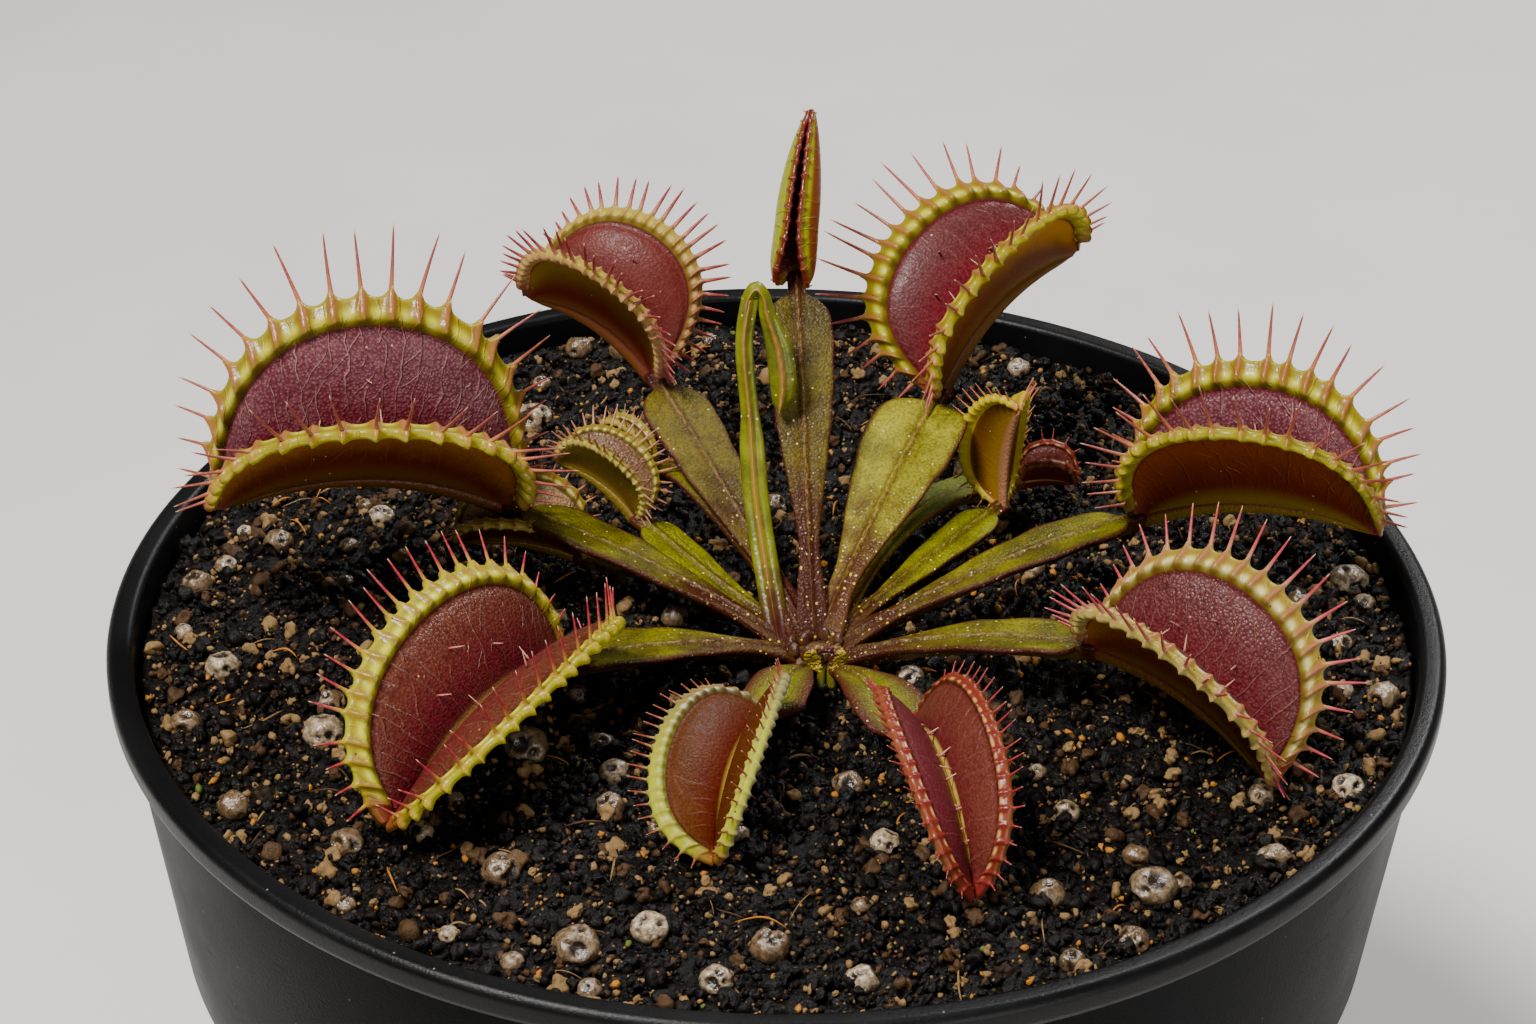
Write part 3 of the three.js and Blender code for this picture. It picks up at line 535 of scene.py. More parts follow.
    # Teeth: the band's colour at the root, red above it and pale at the tip.
    stem = g.layers(
        g.mix(0.50, look.band, look.glow),
        (g.step(tooth, 0.02, 0.22), look.ridge),
        (g.step(tooth, 0.18, 0.55), look.tooth),
        (g.step(tooth, 0.88, 0.99, 0.0, 0.85), (0.62, 0.38, 0.26)))
    stem = g.mix(g.step(fine, 0.45, 0.7, 0.0, 0.45), stem, g.mix(0.5, stem, (0.55, 0.24, 0.12)))
    color = g.layers(
        back,
        (inner, inside),
        (g.times(ends, 0.8), g.mix(0.5, look.tooth, look.back_dark)),
        (g.step(tooth, 0.0, 0.03), stem))
    height = g.plus(g.times(pebble, -0.65), g.times(vein, 2.6), g.times(g.noise(0.0010, 4, 0.6), 0.9))
    height = g.times(height, g.step(edge, 0.1, -0.06, 0.25, 1.0))
    rough = g.plus(g.step(fine, 0.3, 0.7, 0.28, 0.42), g.step(edge, 0.2, -0.1, 0.0, 0.10))
    return g.finish(color, rough, g.bump(height, look.relief, 0.85))


def stalk_material(name, green, light, maroon, gloss=0.08, margin=0.90):
    """A stalk: olive green, maroon at its foot, neck and edges, with a pale rib between dark lines."""
    g = Graph("stalk_" + name, **dict(LEAF_FLESH, Coat_Weight=gloss, Specular_IOR_Level=0.15))
    u, wide, under, middle = (g.value(key) for key in ("u", "wide", "under", "middle"))
    flat = g.value("flat", "Vector")
    cloud, grit = g.noise(0.0045, 4, 0.6), g.cells(0.00026)
    streak = g.noise(1.0, 4, 0.6, g.scaled(flat, (0.30, 2.4, 1.0)))
    net = g.step(g.cells(1.7, g.scaled(flat, (0.55, 1.1, 1.0)), "DISTANCE_TO_EDGE"), 0.06, 0.0)
    net = g.times(net, g.step(u, 0.5, 0.8, 0.1, 0.6))
    drift = g.times(g.minus(cloud, 0.5), 0.7)
    foot = g.step(g.plus(u, drift), 0.60, 0.18)
    rim = g.step(g.plus(wide, g.times(streak, 0.10)), margin, 1.04)
    shoulder = g.step(g.plus(g.math("ABSOLUTE", g.minus(wide, 0.45)), drift), 0.30, 0.0)
    shoulder = g.times(shoulder, g.step(u, 0.75, 0.3, 0.0, 0.5))
    red = g.most(g.times(foot, 0.94), g.most(rim, g.step(u, 0.90, 0.97)))
    red = g.most(red, g.most(shoulder, g.times(under, 0.6)))
    top = g.minus(1.0, under)
    beside = g.times(g.step(middle, 0.75, 0.35, 0.0, 0.40), top)
    broken = g.step(g.noise(1.0, 3, 0.6, g.scaled(flat, (1.5, 4.0, 1.0))), 0.40, 0.66, 0.0, 0.65)
    rib = g.times(g.step(middle, 0.26, 0.12), top, broken, g.step(u, 0.12, 0.40, 0.25, 1.0))
    color = g.layers(
        green,
        (g.step(cloud, 0.32, 0.70), light),
        (g.step(streak, 0.35, 0.7, 0.0, 0.45), g.mix(0.5, light, green)),
        (g.step(grit, 0.35, 0.85, 0.0, 0.45), g.mix(0.5, green, BLACK)),
        (g.times(net, 0.35), green),
        (red, g.mix(g.step(streak, 0.3, 0.7), maroon, g.mix(0.07, maroon, light))),
        (beside, g.mix(0.4, maroon, (0.02, 0.006, 0.003))),
        (rib, g.mix(0.35, light, (0.40, 0.17, 0.10))),
        (g.specks(0.0009, 0.60, 0.12), (0.75, 0.62, 0.32)),
        (g.times(g.specks(0.00055, 0.45, 0.17), g.step(u, 0.75, 0.25, 0.15, 0.8)), (0.66, 0.50, 0.34)),
        (g.times(g.specks(0.0008, 0.80, 0.19), g.step(u, 0.50, 0.15)), (0.62, 0.46, 0.04)))
    height = g.minus(g.minus(g.times(streak, 0.45), g.times(grit, 0.7)), g.times(net, 0.5))
    return g.finish(color, g.step(cloud, 0.3, 0.7, 0.40, 0.56), g.bump(height, 0.00018, 0.7))


def crown_material():
    g = Graph("crown", Coat_Weight=0.25, Coat_Roughness=0.3, Subsurface_Weight=0.08,
              Subsurface_Radius=(0.001, 0.0005, 0.0002))
    color = g.layers(
        (0.045, 0.006, 0.003),
        (g.step(g.noise(0.0016, 4, 0.6), 0.38, 0.72), (0.10, 0.050, 0.004)),
        (g.specks(0.0006, 0.40, 0.20), (0.60, 0.44, 0.04)))
    return g.finish(color, 0.45, g.bump(g.noise(0.0004, 4), 0.0002, 0.7))


def young_material(name, green, light, foot=0.0):
    """Fresh growth: smooth green with pale specks and a tan ridge, dark red up to foot along it."""
    g = Graph("young_" + name, **LEAF_FLESH)
    cloud = g.noise(0.0028, 4, 0.6)
    color = g.layers(green, (g.step(cloud, 0.3, 0.7), light), (g.value("stripe"), (0.36, 0.17, 0.045)))
    if foot:
        low = g.step(g.plus(g.value("u"), g.times(cloud, 0.2)), foot + 0.1, foot - 0.15)
        color = g.mix(low, color, (0.050, 0.007, 0.003))
    color = g.mix(g.specks(0.0008, 0.5, 0.15), color, (0.72, 0.66, 0.30))
    return g.finish(color, 0.36, g.bump(g.noise(0.0005, 4), 0.00012, 0.6))


def fuzz_material():
    g = Graph("fuzz", Coat_Weight=0.2, Coat_Roughness=0.4)
    patch = g.plus(g.value("stripe"), g.minus(g.noise(0.0009, 4), 0.5))
    color = g.layers(
        (0.07, 0.010, 0.005),
        (g.step(patch, 0.10, 0.55), (0.36, 0.25, 0.006)),
        (g.times(g.specks(0.00030, 0.6, 0.34), g.step(patch, 0.1, 0.6)), (0.62, 0.46, 0.04)))
    return g.finish(color, 0.5, g.bump(g.cells(0.0003), 0.00025, 0.9))


def pot_material(name, gloss):
    """Black moulded plastic with a fine satin grain, light scuffs and a little dust."""
    g = Graph("pot_" + name, Specular_IOR_Level=gloss)
    cloud = g.noise(0.02, 5, 0.6)
    scuff = g.step(g.noise(1.0, 5, 0.65, g.scaled(g.place, (90.0, 90.0, 520.0))), 0.60, 0.74)
    color = g.layers(
        (0.0018, 0.0018, 0.0021),
        (g.step(cloud, 0.3, 0.7), (0.0036, 0.0037, 0.0044)),
        (g.times(scuff, 0.25), (0.010, 0.010, 0.012)),
        (g.times(g.specks(0.0011, 0.12, 0.10), 0.7), (0.22, 0.20, 0.17)))
    rough = g.plus(g.step(cloud, 0.3, 0.7, 0.34, 0.44), g.times(scuff, 0.12))
    return g.finish(color, rough, g.bump(g.noise(0.00030, 3, 0.7), 0.00006, 0.7))


def soil_material(name, dark, light, gloss, relief=0.00012):
    """Damp peat: each crumb has its own shade, set by the value kind on its mesh."""
    g = Graph("soil_" + name, Coat_Weight=gloss, Coat_Roughness=0.16, Specular_IOR_Level=0.12)
    kind = g.value("kind")
    grain = g.noise(0.0005, 4, 0.65)
    color = g.layers(
        dark,
        (g.step(grain, 0.35, 0.7), light),
        (g.specks(0.0007, 0.20, 0.20), (0.27, 0.14, 0.045)),
        (g.step(kind, 0.72, 0.76), g.mix(grain, (0.018, 0.009, 0.004), (0.09, 0.045, 0.018))),
        (g.step(kind, 0.85, 0.86), g.mix(grain, (0.065, 0.033, 0.011), (0.34, 0.21, 0.085))),
        (g.step(kind, 0.965, 0.97), g.mix(grain, (0.26, 0.09, 0.010), (0.50, 0.20, 0.03))),
        (g.step(kind, 0.994, 0.996), (0.09, 0.13, 0.02)))
    bump = g.bump(g.noise(relief * 1.5, 4), relief, 0.9)
    return g.finish(color, g.step(grain, 0.3, 0.7, 0.36, 0.78), bump)


def perlite_material():
    """Round pitted grains, cream where they are clean and brown down in the pits."""
    g = Graph("perlite", Coat_Weight=0.7, Coat_Roughness=0.10, Subsurface_Weight=0.10,
              Subsurface_Radius=(0.0008, 0.0006, 0.0004))
    grain = g.noise(0.0005, 4, 0.6)
    clean = g.mix(g.step(g.value("kind"), 0.2, 1.0), (0.17, 0.105, 0.050), (0.52, 0.40, 0.25))
    color = g.layers(
        g.mix(0.72, clean, (0.05, 0.03, 0.014)),
        (g.step(grain, 0.38, 0.66), clean),
        (g.step(g.value("pit"), 0.12, 0.7), (0.018, 0.010, 0.005)))
    bump = g.bump(g.noise(0.00022, 3), 0.00012, 0.8)
    return g.finish(color, g.step(grain, 0.3, 0.7, 0.16, 0.36), bump)


def floor_material():
    g = Graph("floor", Roughness=0.7)
    return g.finish(g.mix(g.step(g.noise(0.05, 4), 0.3, 0.7), (0.70, 0.69, 0.67), (0.74, 0.73, 0.71)))


# ---------------------------------------------------------------- traps

def lobe_height(leaf, s):
    s = np.clip(s, 1e-4, 1 - 1e-4)
    return leaf.height * np.sin(np.pi * s) ** leaf.square * (1 - leaf.taper * s * s)


def midrib_point(leaf, s):
    s = np.asarray(s, float)
    return np.stack([leaf.length * s, 0 * s, 4 * leaf.arch * s * (1 - s)], -1)


def inward_of(leaf, side):
    lean = math.radians(leaf.open[side < 0])
    return np.array([0.0, -side * math.cos(lean), math.sin(lean)])


def lobe_point(leaf, side, s, t):
    """A point of a lobe's middle surface: s runs along the midrib, t from the midrib to the rim."""
    lean = math.radians(leaf.open[side < 0])
    height = lobe_height(leaf, s)
    middle = midrib_point(leaf, s)
    rim = np.stack([
        leaf.length * (0.5 - 0.5 * leaf.over * np.cos(np.pi * s)),
        side * height * math.sin(lean),
        middle[..., 2] + height * math.cos(lean),
    ], -1)
    swell = leaf.bulge * height * 4 * t * (1 - t)
    point = middle + (rim - middle) * t[..., None] + swell[..., None] * inward_of(leaf, side)
    foot = leaf.foot * (1 - smoothstep(0.0, 0.36, s)) * t
    return point + foot[..., None] * np.array([-0.70, side * 0.70, 0.1])


def lobe_normal(leaf, side, s, t):
    """The unit normal on the side of the open mouth."""
    low, high = np.clip(s - 0.006, 2e-4, 1 - 2e-4), np.clip(s + 0.006, 2e-4, 1 - 2e-4)
    ds = lobe_point(leaf, side, high, t) - lobe_point(leaf, side, low, t)
    dt = lobe_point(leaf, side, s, t + 0.01) - lobe_point(leaf, side, s, t - 0.01)
    normal = unit(np.cross(ds, dt))
    facing = np.sign(np.sum(normal * inward_of(leaf, side), -1, keepdims=True))
    return normal * np.where(facing == 0, 1, facing)


def trap_axes(leaf):
    a, p, r = (math.radians(angle) for angle in (leaf.heading, leaf.pitch, leaf.roll))
    along = np.array([math.cos(p) * math.cos(a), math.cos(p) * math.sin(a), math.sin(p)])
    mouth = np.array([-math.sin(p) * math.cos(a), -math.sin(p) * math.sin(a), math.cos(p)])
    mouth = turned(mouth, along, -r)
    return np.stack([along, np.cross(mouth, along), mouth])


def rim_places(leaf, side):
    """Where the teeth stand, as distances along the rim, and what turns such a distance into s."""
    s = np.linspace(1e-4, 1 - 1e-4, 1201)
    rim = lobe_point(leaf, side, s, np.ones_like(s))
    run = np.concatenate([[0], np.cumsum(np.linalg.norm(np.diff(rim, axis=0), axis=1))])
    random = np.random.default_rng(int(leaf.name) * 7 + (side > 0))
    share = np.linspace(0.055, 0.945, leaf.teeth)
    share += random.uniform(-0.14, 0.14, leaf.teeth) * 0.89 / (leaf.teeth - 1)
    return share * run[-1], run, s


def rim_outwards(leaf, side, s):
    """Unit vectors along the rim, and out from it within the lobe's surface."""
    one = np.ones_like(s)
    ahead = lobe_point(leaf, side, np.clip(s + 0.01, 0, 0.9999), one)
    behind = lobe_point(leaf, side, np.clip(s - 0.01, 0.0001, 1), one)
    along = unit(ahead - behind)
    outward = unit(np.cross(lobe_normal(leaf, side, s, one), along))
    away = lobe_point(leaf, side, s, one) - lobe_point(leaf, side, s, 0.8 * one)
    return along, outward * np.sign(np.sum(outward * away, -1, keepdims=True))


def add_lobe(shape, leaf, side, place):
    teeth, run, s_table = rim_places(leaf, side)
    spacing = (teeth[-1] - teeth[0]) / (len(teeth) - 1)
    small = leaf.length <= MIDRIB.small
    per_tooth = LOBE.coarse if small else LOBE.fine
    marks = np.concatenate([
        teeth[0] * (1 - np.cos(np.linspace(0, np.pi / 2, per_tooth + 3)))[:-1],
        *[np.linspace(a, b, per_tooth + 1)[:-1] for a, b in zip(teeth, teeth[1:])],
        teeth[-1] + (run[-1] - teeth[-1]) * np.sin(np.linspace(0, np.pi / 2, per_tooth + 4)),
    ])
    s = np.interp(marks, run, s_table)
    phase = np.min(np.abs(marks[:, None] - teeth), 1) / spacing
    beyond = (marks < teeth[0] - spacing / 2) | (marks > teeth[-1] + spacing / 2)
    height = lobe_height(leaf, s)
    band = leaf.bands[side < 0]
    inner_edge = np.maximum(1 - band / height, 0.5)
    grown = smoothstep(0.3, 1.0, height / (2.5 * band))
    flare = (0.05 + 0.028 * leaf.tooth ** 2) * np.exp(-phase / 0.14) * np.where(beyond, 0.3, 1) * grown
    rim_t = 1 - 0.05 * band / np.maximum(height, 0.5)
    # The inner face runs from the midrib to the band and over it, and the outer face back down.
    q = np.concatenate([np.linspace(0, 1, 17)[:-1], 1 + np.linspace(0, 1, 15)])
    t_in = np.where(q <= 1, inner_edge[:, None] * q,
                    inner_edge[:, None] + (rim_t - inner_edge)[:, None] * (q - 1))
    q_out = np.concatenate([np.linspace(1, 0.8, 7)[:-1], np.linspace(0.8, 0, 12)])
    t_out = rim_t[:, None] * q_out
    s_in, s_out = s[:, None] + 0 * t_in, s[:, None] + 0 * t_out
    ridge = (np.exp(-(phase / 0.15) ** 2) * np.where(beyond, 0, 1))[:, None]
    bead = (smoothstep(0.0, 0.46, phase) * np.where(beyond, 0.6, 1))[:, None]
    v = (t_in - inner_edge[:, None]) / (1 - inner_edge)[:, None]
    thick = LOBE.thick / 2 * (0.8 if small else 1) * leaf.thin
    rise = 0.29 * band ** 0.85
    swell = smoothstep(0.0, 0.34, v) * (1 - smoothstep(0.46, 1.0, v))
    raised = swell * (0.86 - 0.34 * bead) + 0.20 * smoothstep(0.05, 0.4, v)
    spine = ridge * smoothstep(0.03, 0.30, v) * (0.66 - 0.26 * smoothstep(0.6, 1.0, v))
    groove = 0.18 * np.exp(-((v + 0.04) / 0.07) ** 2)
    lift_in = thick + rise * (raised + spine) * grown[:, None] - groove * np.minimum(band, 1.5)
    near_rim = smoothstep(0.86, 0.97, q_out)
    lift_out = thick * (0.75 + 0.45 * near_rim) + 0.14 * (ridge - 0.4) * near_rim
    outward = rim_outwards(leaf, side, s)[1]
    pull_in = flare[:, None] * np.clip((v - 0.45) / 0.55, 0, 1) ** 2
    pull_out = flare[:, None] * np.clip((q_out - 0.86) / 0.14, 0, 1) ** 2
    faces = []
    for s_at, t_at, lift, pull in ((s_in, t_in, lift_in, pull_in), (s_out, t_out, -lift_out, pull_out)):
        face = lobe_point(leaf, side, s_at, t_at) + lobe_normal(leaf, side, s_at, t_at) * lift[..., None]
        faces.append(face + outward[:, None] * pull[..., None])
    face_in, face_out = faces
    # The two lobes meet in the middle plane, and neither shows through the other.
    face_in[..., 1] = side * np.maximum(side * face_in[..., 1], 0.02)
    low_part = smoothstep(0.5, 0.1, t_out) * 0.32 * (0.7 if small else 1)
    face_out[..., 1] = side * np.maximum(side * face_out[..., 1], low_part)
    # The rim's edge is rounded between the last inner and the first outer point.
    edge_a, edge_b = face_in[:, -1], face_out[:, 0]
    half = np.linalg.norm(edge_a - edge_b, axis=-1, keepdims=True) / 2
    centre, across = (edge_a + edge_b) / 2, (edge_a - edge_b) / 2
    arc = np.stack([centre + across * math.cos(angle) + outward * half * math.sin(angle) * 0.8
                    for angle in (0.6, 1.2, np.pi / 2, np.pi - 1.2, np.pi - 0.6)], 1)

    def beside(on_inside, on_edge, on_outside):
        """Values on the inner face, the rounded edge and the outer face, in the order of the rings."""
        parts = ((on_inside, t_in), (on_edge, arc[..., 0]), (on_outside, t_out))
        return np.concatenate([part + 0 * like for part, like in parts], 1)

    out = beside(t_in, 1, t_out)
    beads = swell * bead * grown[:, None] + 0.30 * smoothstep(0.75, 1.0, v) * (1 - ridge)
    shape.ring_skin(
        place(np.concatenate([face_in, arc, face_out], 1)),
        inner=np.arange(out.shape[1]) < t_in.shape[1] + 3,
        out=out,
        edge=beside(v, 1, 1),
        ridge=ridge * beside(smoothstep(0.1, 0.6, v), 1, smoothstep(0.9, 1.0, q_out)),
        bead=beside(beads, 0.45, 0.45),
        ends=np.maximum(smoothstep(0.05, 0.0, s), smoothstep(0.95, 1.0, s))[:, None],
        flat=np.stack([marks[:, None] + 0 * out, out * height[:, None], 0 * out + side * 3.0], -1))


def add_teeth(shape, leaf, side, place):
    teeth, run, s_table = rim_places(leaf, side)
    random = np.random.default_rng(int(leaf.name) * 13 + (side > 0))
    s = np.interp(teeth, run, s_table)
    root = lobe_point(leaf, side, s, np.ones_like(s))
    normal = lobe_normal(leaf, side, s, np.ones_like(s))
    along, outward = rim_outwards(leaf, side, s)
    lean = math.radians(leaf.leans[side < 0])
    u = np.linspace(0, 1, TOOTH.steps)
    thick = min(0.42, 0.15 + leaf.tooth * 0.053) * leaf.thin * leaf.stout
    radius = thick * (0.17 + 0.40 * (1 - u) + 0.53 * np.exp(-u / 0.11))
    radius[-1] *= 0.35
    radius[-2] *= 0.9
    for i in range(len(s)):
        angle = lean + random.uniform(-0.10, 0.12)
        aim = unit(outward[i] * math.cos(angle) + normal[i] * math.sin(angle)
                   + along[i] * random.uniform(-0.08, 0.08))
        length = leaf.tooth * (0.55 + 0.45 * math.sin(math.pi * s[i])) * random.uniform(0.88, 1.08)
        curve = random.uniform(-0.02, 0.09) * length
        sway = random.uniform(-0.04, 0.04) * length
        reach = u * (length + TOOTH.root) - TOOTH.root
        centre = (root[i] + aim * reach[:, None]
                  + normal[i] * (curve * u ** 2)[:, None] + along[i] * (sway * u ** 2)[:, None])
        y_axis = unit(np.cross(aim, along[i]))
        rings = tube(centre, radius, along[i], y_axis, TOOTH.sides, TOOTH.squash)
        shape.ring_skin(place(rings), inner=1, out=1, edge=1, ridge=0.8, bead=0.45,
                        tooth=np.maximum(reach / length, 0.0)[:, None])


def add_midrib(shape, leaf, place):
    slim = 1.0 if leaf.length > MIDRIB.small else MIDRIB.slim
    s = np.linspace(-0.03, 1.0, MIDRIB.steps)
    centre = midrib_point(leaf, s)
    shrink = np.sqrt(np.clip((1.02 - s) / 0.10, 0.02, 1))
    radius = MIDRIB.radius * slim * (1 - MIDRIB.taper * np.clip(s, 0, 1)) * shrink
    keel = radius + MIDRIB.keel * slim * (1 - np.clip(s, 0, 1) ** 2) * shrink
    y, z = np.sin(around(MIDRIB.sides)), np.cos(around(MIDRIB.sides))
    depth = np.where(z > 0, 0.72 * radius[:, None], 0.95 * keel[:, None])
    points = np.stack([centre[:, 0:1] + 0 * depth, y * radius[:, None] * 0.85,
                       centre[:, 2:3] + z * depth], -1)
    shape.ring_skin(place(points), inner=z > 0.5, out=0.05, edge=-1,
                    ends=smoothstep(0.06, 0.0, s)[:, None])


def add_trigger_hairs(shape, leaf, place):
    random = np.random.default_rng(int(leaf.name) * 31)
    size = min(HAIR.longest, HAIR.share * leaf.length)
    u = np.linspace(0, 1, HAIR.steps)
    for side in (1, -1):
        for s0, t0 in leaf.hairs:
            s = np.array([s0 + random.uniform(-0.03, 0.03)])
            t = np.array([t0 + random.uniform(-0.05, 0.05)])
            root = (lobe_point(leaf, side, s, t) + lobe_normal(leaf, side, s, t) * 0.35)[0]
            aim = unit(lobe_normal(leaf, side, s, t)[0] + random.uniform(-0.35, 0.35, 3))
            x_axis = unit(np.cross(aim, (0.3, 0.5, 0.8)))
            rings = tube(root + aim * (u * size)[:, None], HAIR.thick * (1.2 - u),
                         x_axis, np.cross(aim, x_axis), HAIR.sides)
            shape.ring_skin(place(rings), tooth=(0.90 + 0.1 * u)[:, None])


def make_trap(leaf, materials):
    axes = trap_axes(leaf)

    def place(points):
        return np.asarray(points) @ axes + np.asarray(leaf.joint, float)

    shape = Shape()
    for side in (1, -1):
        add_lobe(shape, leaf, side, place)
        add_teeth(shape, leaf, side, place)
    add_midrib(shape, leaf, place)
    add_trigger_hairs(shape, leaf, place)
    node = "trap_" + leaf.name
    shape.build("snap_" + node, [materials[leaf.look]], node, "trap")


# ---------------------------------------------------------------- stalks

# Where the points lie from a blade's midrib to its edge, closer together at both.
HALF_BLADE = np.array([0, 0.03, 0.06, 0.10, 0.15, 0.22, 0.30, 0.40,
                       0.50, 0.60, 0.70, 0.79, 0.87, 0.93, 0.975, 1])


def wing(u):
    """How wide a stalk's blade is, from the foot to its shoulders, then down to the neck."""
    closing = np.clip((u - 0.84) / 0.1, 0, 1)
    return (0.12 + 0.88 * smoothstep(0.05, 0.8, u)) * np.sqrt(1 - closing * closing)


def stalk_path(leaf):
    a = math.radians(leaf.start)
    start = CROWN.radius * STALK.start
    base = np.array([CROWN.x + start * math.cos(a), CROWN.y + start * math.sin(a), leaf.low])
    joint = np.asarray(leaf.joint, float) - trap_axes(leaf)[0] * STALK.short
    between = leaf.via or [(base + joint) / 2 + (0, 0, leaf.lift)]
    root = base - (1.3 * math.cos(a), 1.3 * math.sin(a), 1.9)
    return Path([root, base, *between, joint])


def both_faces(top, bottom):
    """Values across a blade's top and back across its underside, with each edge taken once."""
    return np.concatenate([top, bottom[::-1][1:-1]])


def add_blade(shape, path, width, twist=0.0, neck=STALK.neck, cup=STALK.cup, seed=0,
              stations=72, thick=STALK.thick, foot=0.0, stripe=None, facing=(0, 0, 1)):
    """A blade along a path, channelled on the side it faces, thick at its midrib, keeled behind."""
    phases = np.random.default_rng(seed).uniform(0, 6.28, 4)
    u = np.concatenate([np.linspace(0, 0.8, int(stations * 0.6))[:-1],
                        np.linspace(0.8, 1, int(stations * 0.4))])
    side = np.concatenate([-HALF_BLADE[:0:-1], HALF_BLADE])
    wide = np.abs(side)
    centre, along = path.at(u), path.tangent(u)
    half = np.maximum(width(u), neck) / 2 + foot * (1 - smoothstep(0.0, 0.3, u))
    rings, middle, flat = [], [], []
    for k in range(len(u)):
        across = turned(unit(np.cross(along[k], facing)), along[k], math.radians(twist * u[k]))
        above = np.cross(across, along[k])
        body = (thick + (STALK.edge - thick) * wide) / 2
        body = body * np.sqrt(np.clip(1 - wide ** 9, 0, 1))
        run = u[k] * path.length
        ruffle = 0.10 * wide ** 3 * np.sin(run * 0.9 + phases[0] + np.sign(side) * phases[1])
        ruffle = ruffle * smoothstep(0.25, 0.6, u[k]) * (1 - smoothstep(0.9, 0.95, u[k]))
        rise = side ** 2 * half[k] * cup + ruffle * half[k] / 3
        distance = wide * half[k]
        rib = (0.13 + 0.03 * np.sin(run * 5.1 + phases[3])) * np.exp(-(distance / 0.18) ** 2)
        rib -= 0.09 * np.exp(-((distance - 0.45) / 0.2) ** 2)
        rib *= smoothstep(0.02, 0.1, u[k])
        pillow = 0.10 * half[k] / 3 * np.sin(np.pi * np.clip(wide, 0, 1)) ** 2
        keel = STALK.keel * np.maximum(0, 1 - 2 * wide) ** 0.8
        edge = side * half[k] * (1 + 0.012 * np.sin(run * 1.7 + phases[2]))
        spine = centre[k] + np.outer(edge, across)
        rings.append(both_faces(spine + np.outer(rise + body + rib + pillow, above),
                                spine + np.outer(rise - body - keel, above)))
        middle.append(both_faces(distance, distance))
        spread = both_faces(edge, edge + 20)
        flat.append(np.stack([run + 0 * spread, spread, 0 * spread + seed], -1))
    values = dict(u=u[:, None], wide=both_faces(wide, wide)[None], middle=np.array(middle),
                  under=both_faces(0 * side, 0 * side + 1)[None], flat=np.array(flat))
    if stripe:
        values["stripe"] = stripe(values)
    shape.ring_skin(np.array(rings), **values)


def make_stalk(leaf, materials):
    shape = Shape()
    add_blade(shape, stalk_path(leaf), lambda u: leaf.wide * wing(u), leaf.twist,
              seed=int(leaf.name), cup=leaf.cup, foot=0.12 * leaf.wide)
    node = "stalk_" + leaf.name
    shape.build("leaf_" + node, [materials[leaf.stalk]], node, "stalk")


# ---------------------------------------------------------------- young leaves and crown

def make_folded(materials):
    def narrowing(u):
        return FOLDED.stalk_width + (FOLDED.arm_width - FOLDED.stalk_width) * smoothstep(0.55, 0.7, u)

    def swelling(u):
        closing = np.clip((u - 0.76) / 0.24, 0, 0.995)
        body = FOLDED.neck + (FOLDED.trap_width - FOLDED.neck) * smoothstep(0.2, 0.75, u)
        return body * np.sqrt(1 - closing ** 2)

    stalk, trap = Shape(), Shape()
    add_blade(stalk, Path(FOLDED.stalk), narrowing, neck=FOLDED.neck, seed=4, thick=1.9,
              facing=(0, -1, 0.2),
              stripe=lambda v: 0.7 * smoothstep(0.26, 0.12, v["wide"]) * (1 - v["under"]))
    stalk.build("leaf_stalk_04", [materials["stem"]], "stalk_04", "stalk")
    add_blade(trap, Path(FOLDED.top + FOLDED.trap[1:]), swelling, neck=0.3, seed=5,
              cup=0.1, stations=90, thick=1.7, facing=(0, -1, 0.2),
              stripe=lambda v: (smoothstep(0.28, 0.12, v["wide"]) * (1 - v["under"])
                                * (0.5 + 0.5 * v["u"])))
    trap.build("bud_trap_04", [materials["bud"]], "trap_04", "young")


def ball(rows=18, columns=28):
    """Unit directions on a sphere, ring by ring."""
    tilt, turn = np.linspace(0.02, np.pi - 0.02, rows)[:, None], around(columns)
    return np.stack([np.sin(tilt) * np.cos(turn), np.sin(tilt) * np.sin(turn),
                     np.cos(tilt) + 0 * turn], -1)


def make_crown(material):
    shape = Shape()
    random = np.random.default_rng(11)
    dome = ball()
    lumps = 1 + 0.05 * np.sin(dome[..., 0] * 7 + 1) * np.cos(dome[..., 1] * 6)
    lumps = lumps + 0.02 * random.uniform(-1, 1, dome.shape[:2])
    middle = (CROWN.x, CROWN.y, CROWN.top - CROWN.depth / 2)
    size = (CROWN.radius * 0.97, CROWN.radius * 0.97, CROWN.depth / 2 * 0.98)
    shape.ring_skin(dome * lumps[..., None] * size + middle)
    for i in range(CROWN.buds):
        angle = 2 * np.pi * (i + random.uniform(0, 0.5)) / CROWN.buds
        out = 1.7 + random.uniform(-0.5, 0.5)
        tall, stout = random.uniform(0.5, 0.9), random.uniform(0.5, 0.8)
        bud = ball(12, 14) * (stout, stout * 0.7, tall)
        bud[..., 2] += 0.25 * tall * (bud[..., 2] / tall) ** 2
        c, s = math.cos(angle + np.pi / 2), math.sin(angle + np.pi / 2)
        turn = np.array([[c, s, 0], [-s, c, 0], [0, 0, 1]])
        foot = (CROWN.x + out * math.cos(angle), CROWN.y + out * math.sin(angle), CROWN.top - 0.1)
        shape.ring_skin(bud @ turn + foot)
    shape.build("crown_buds", [material], "crown", "crown")


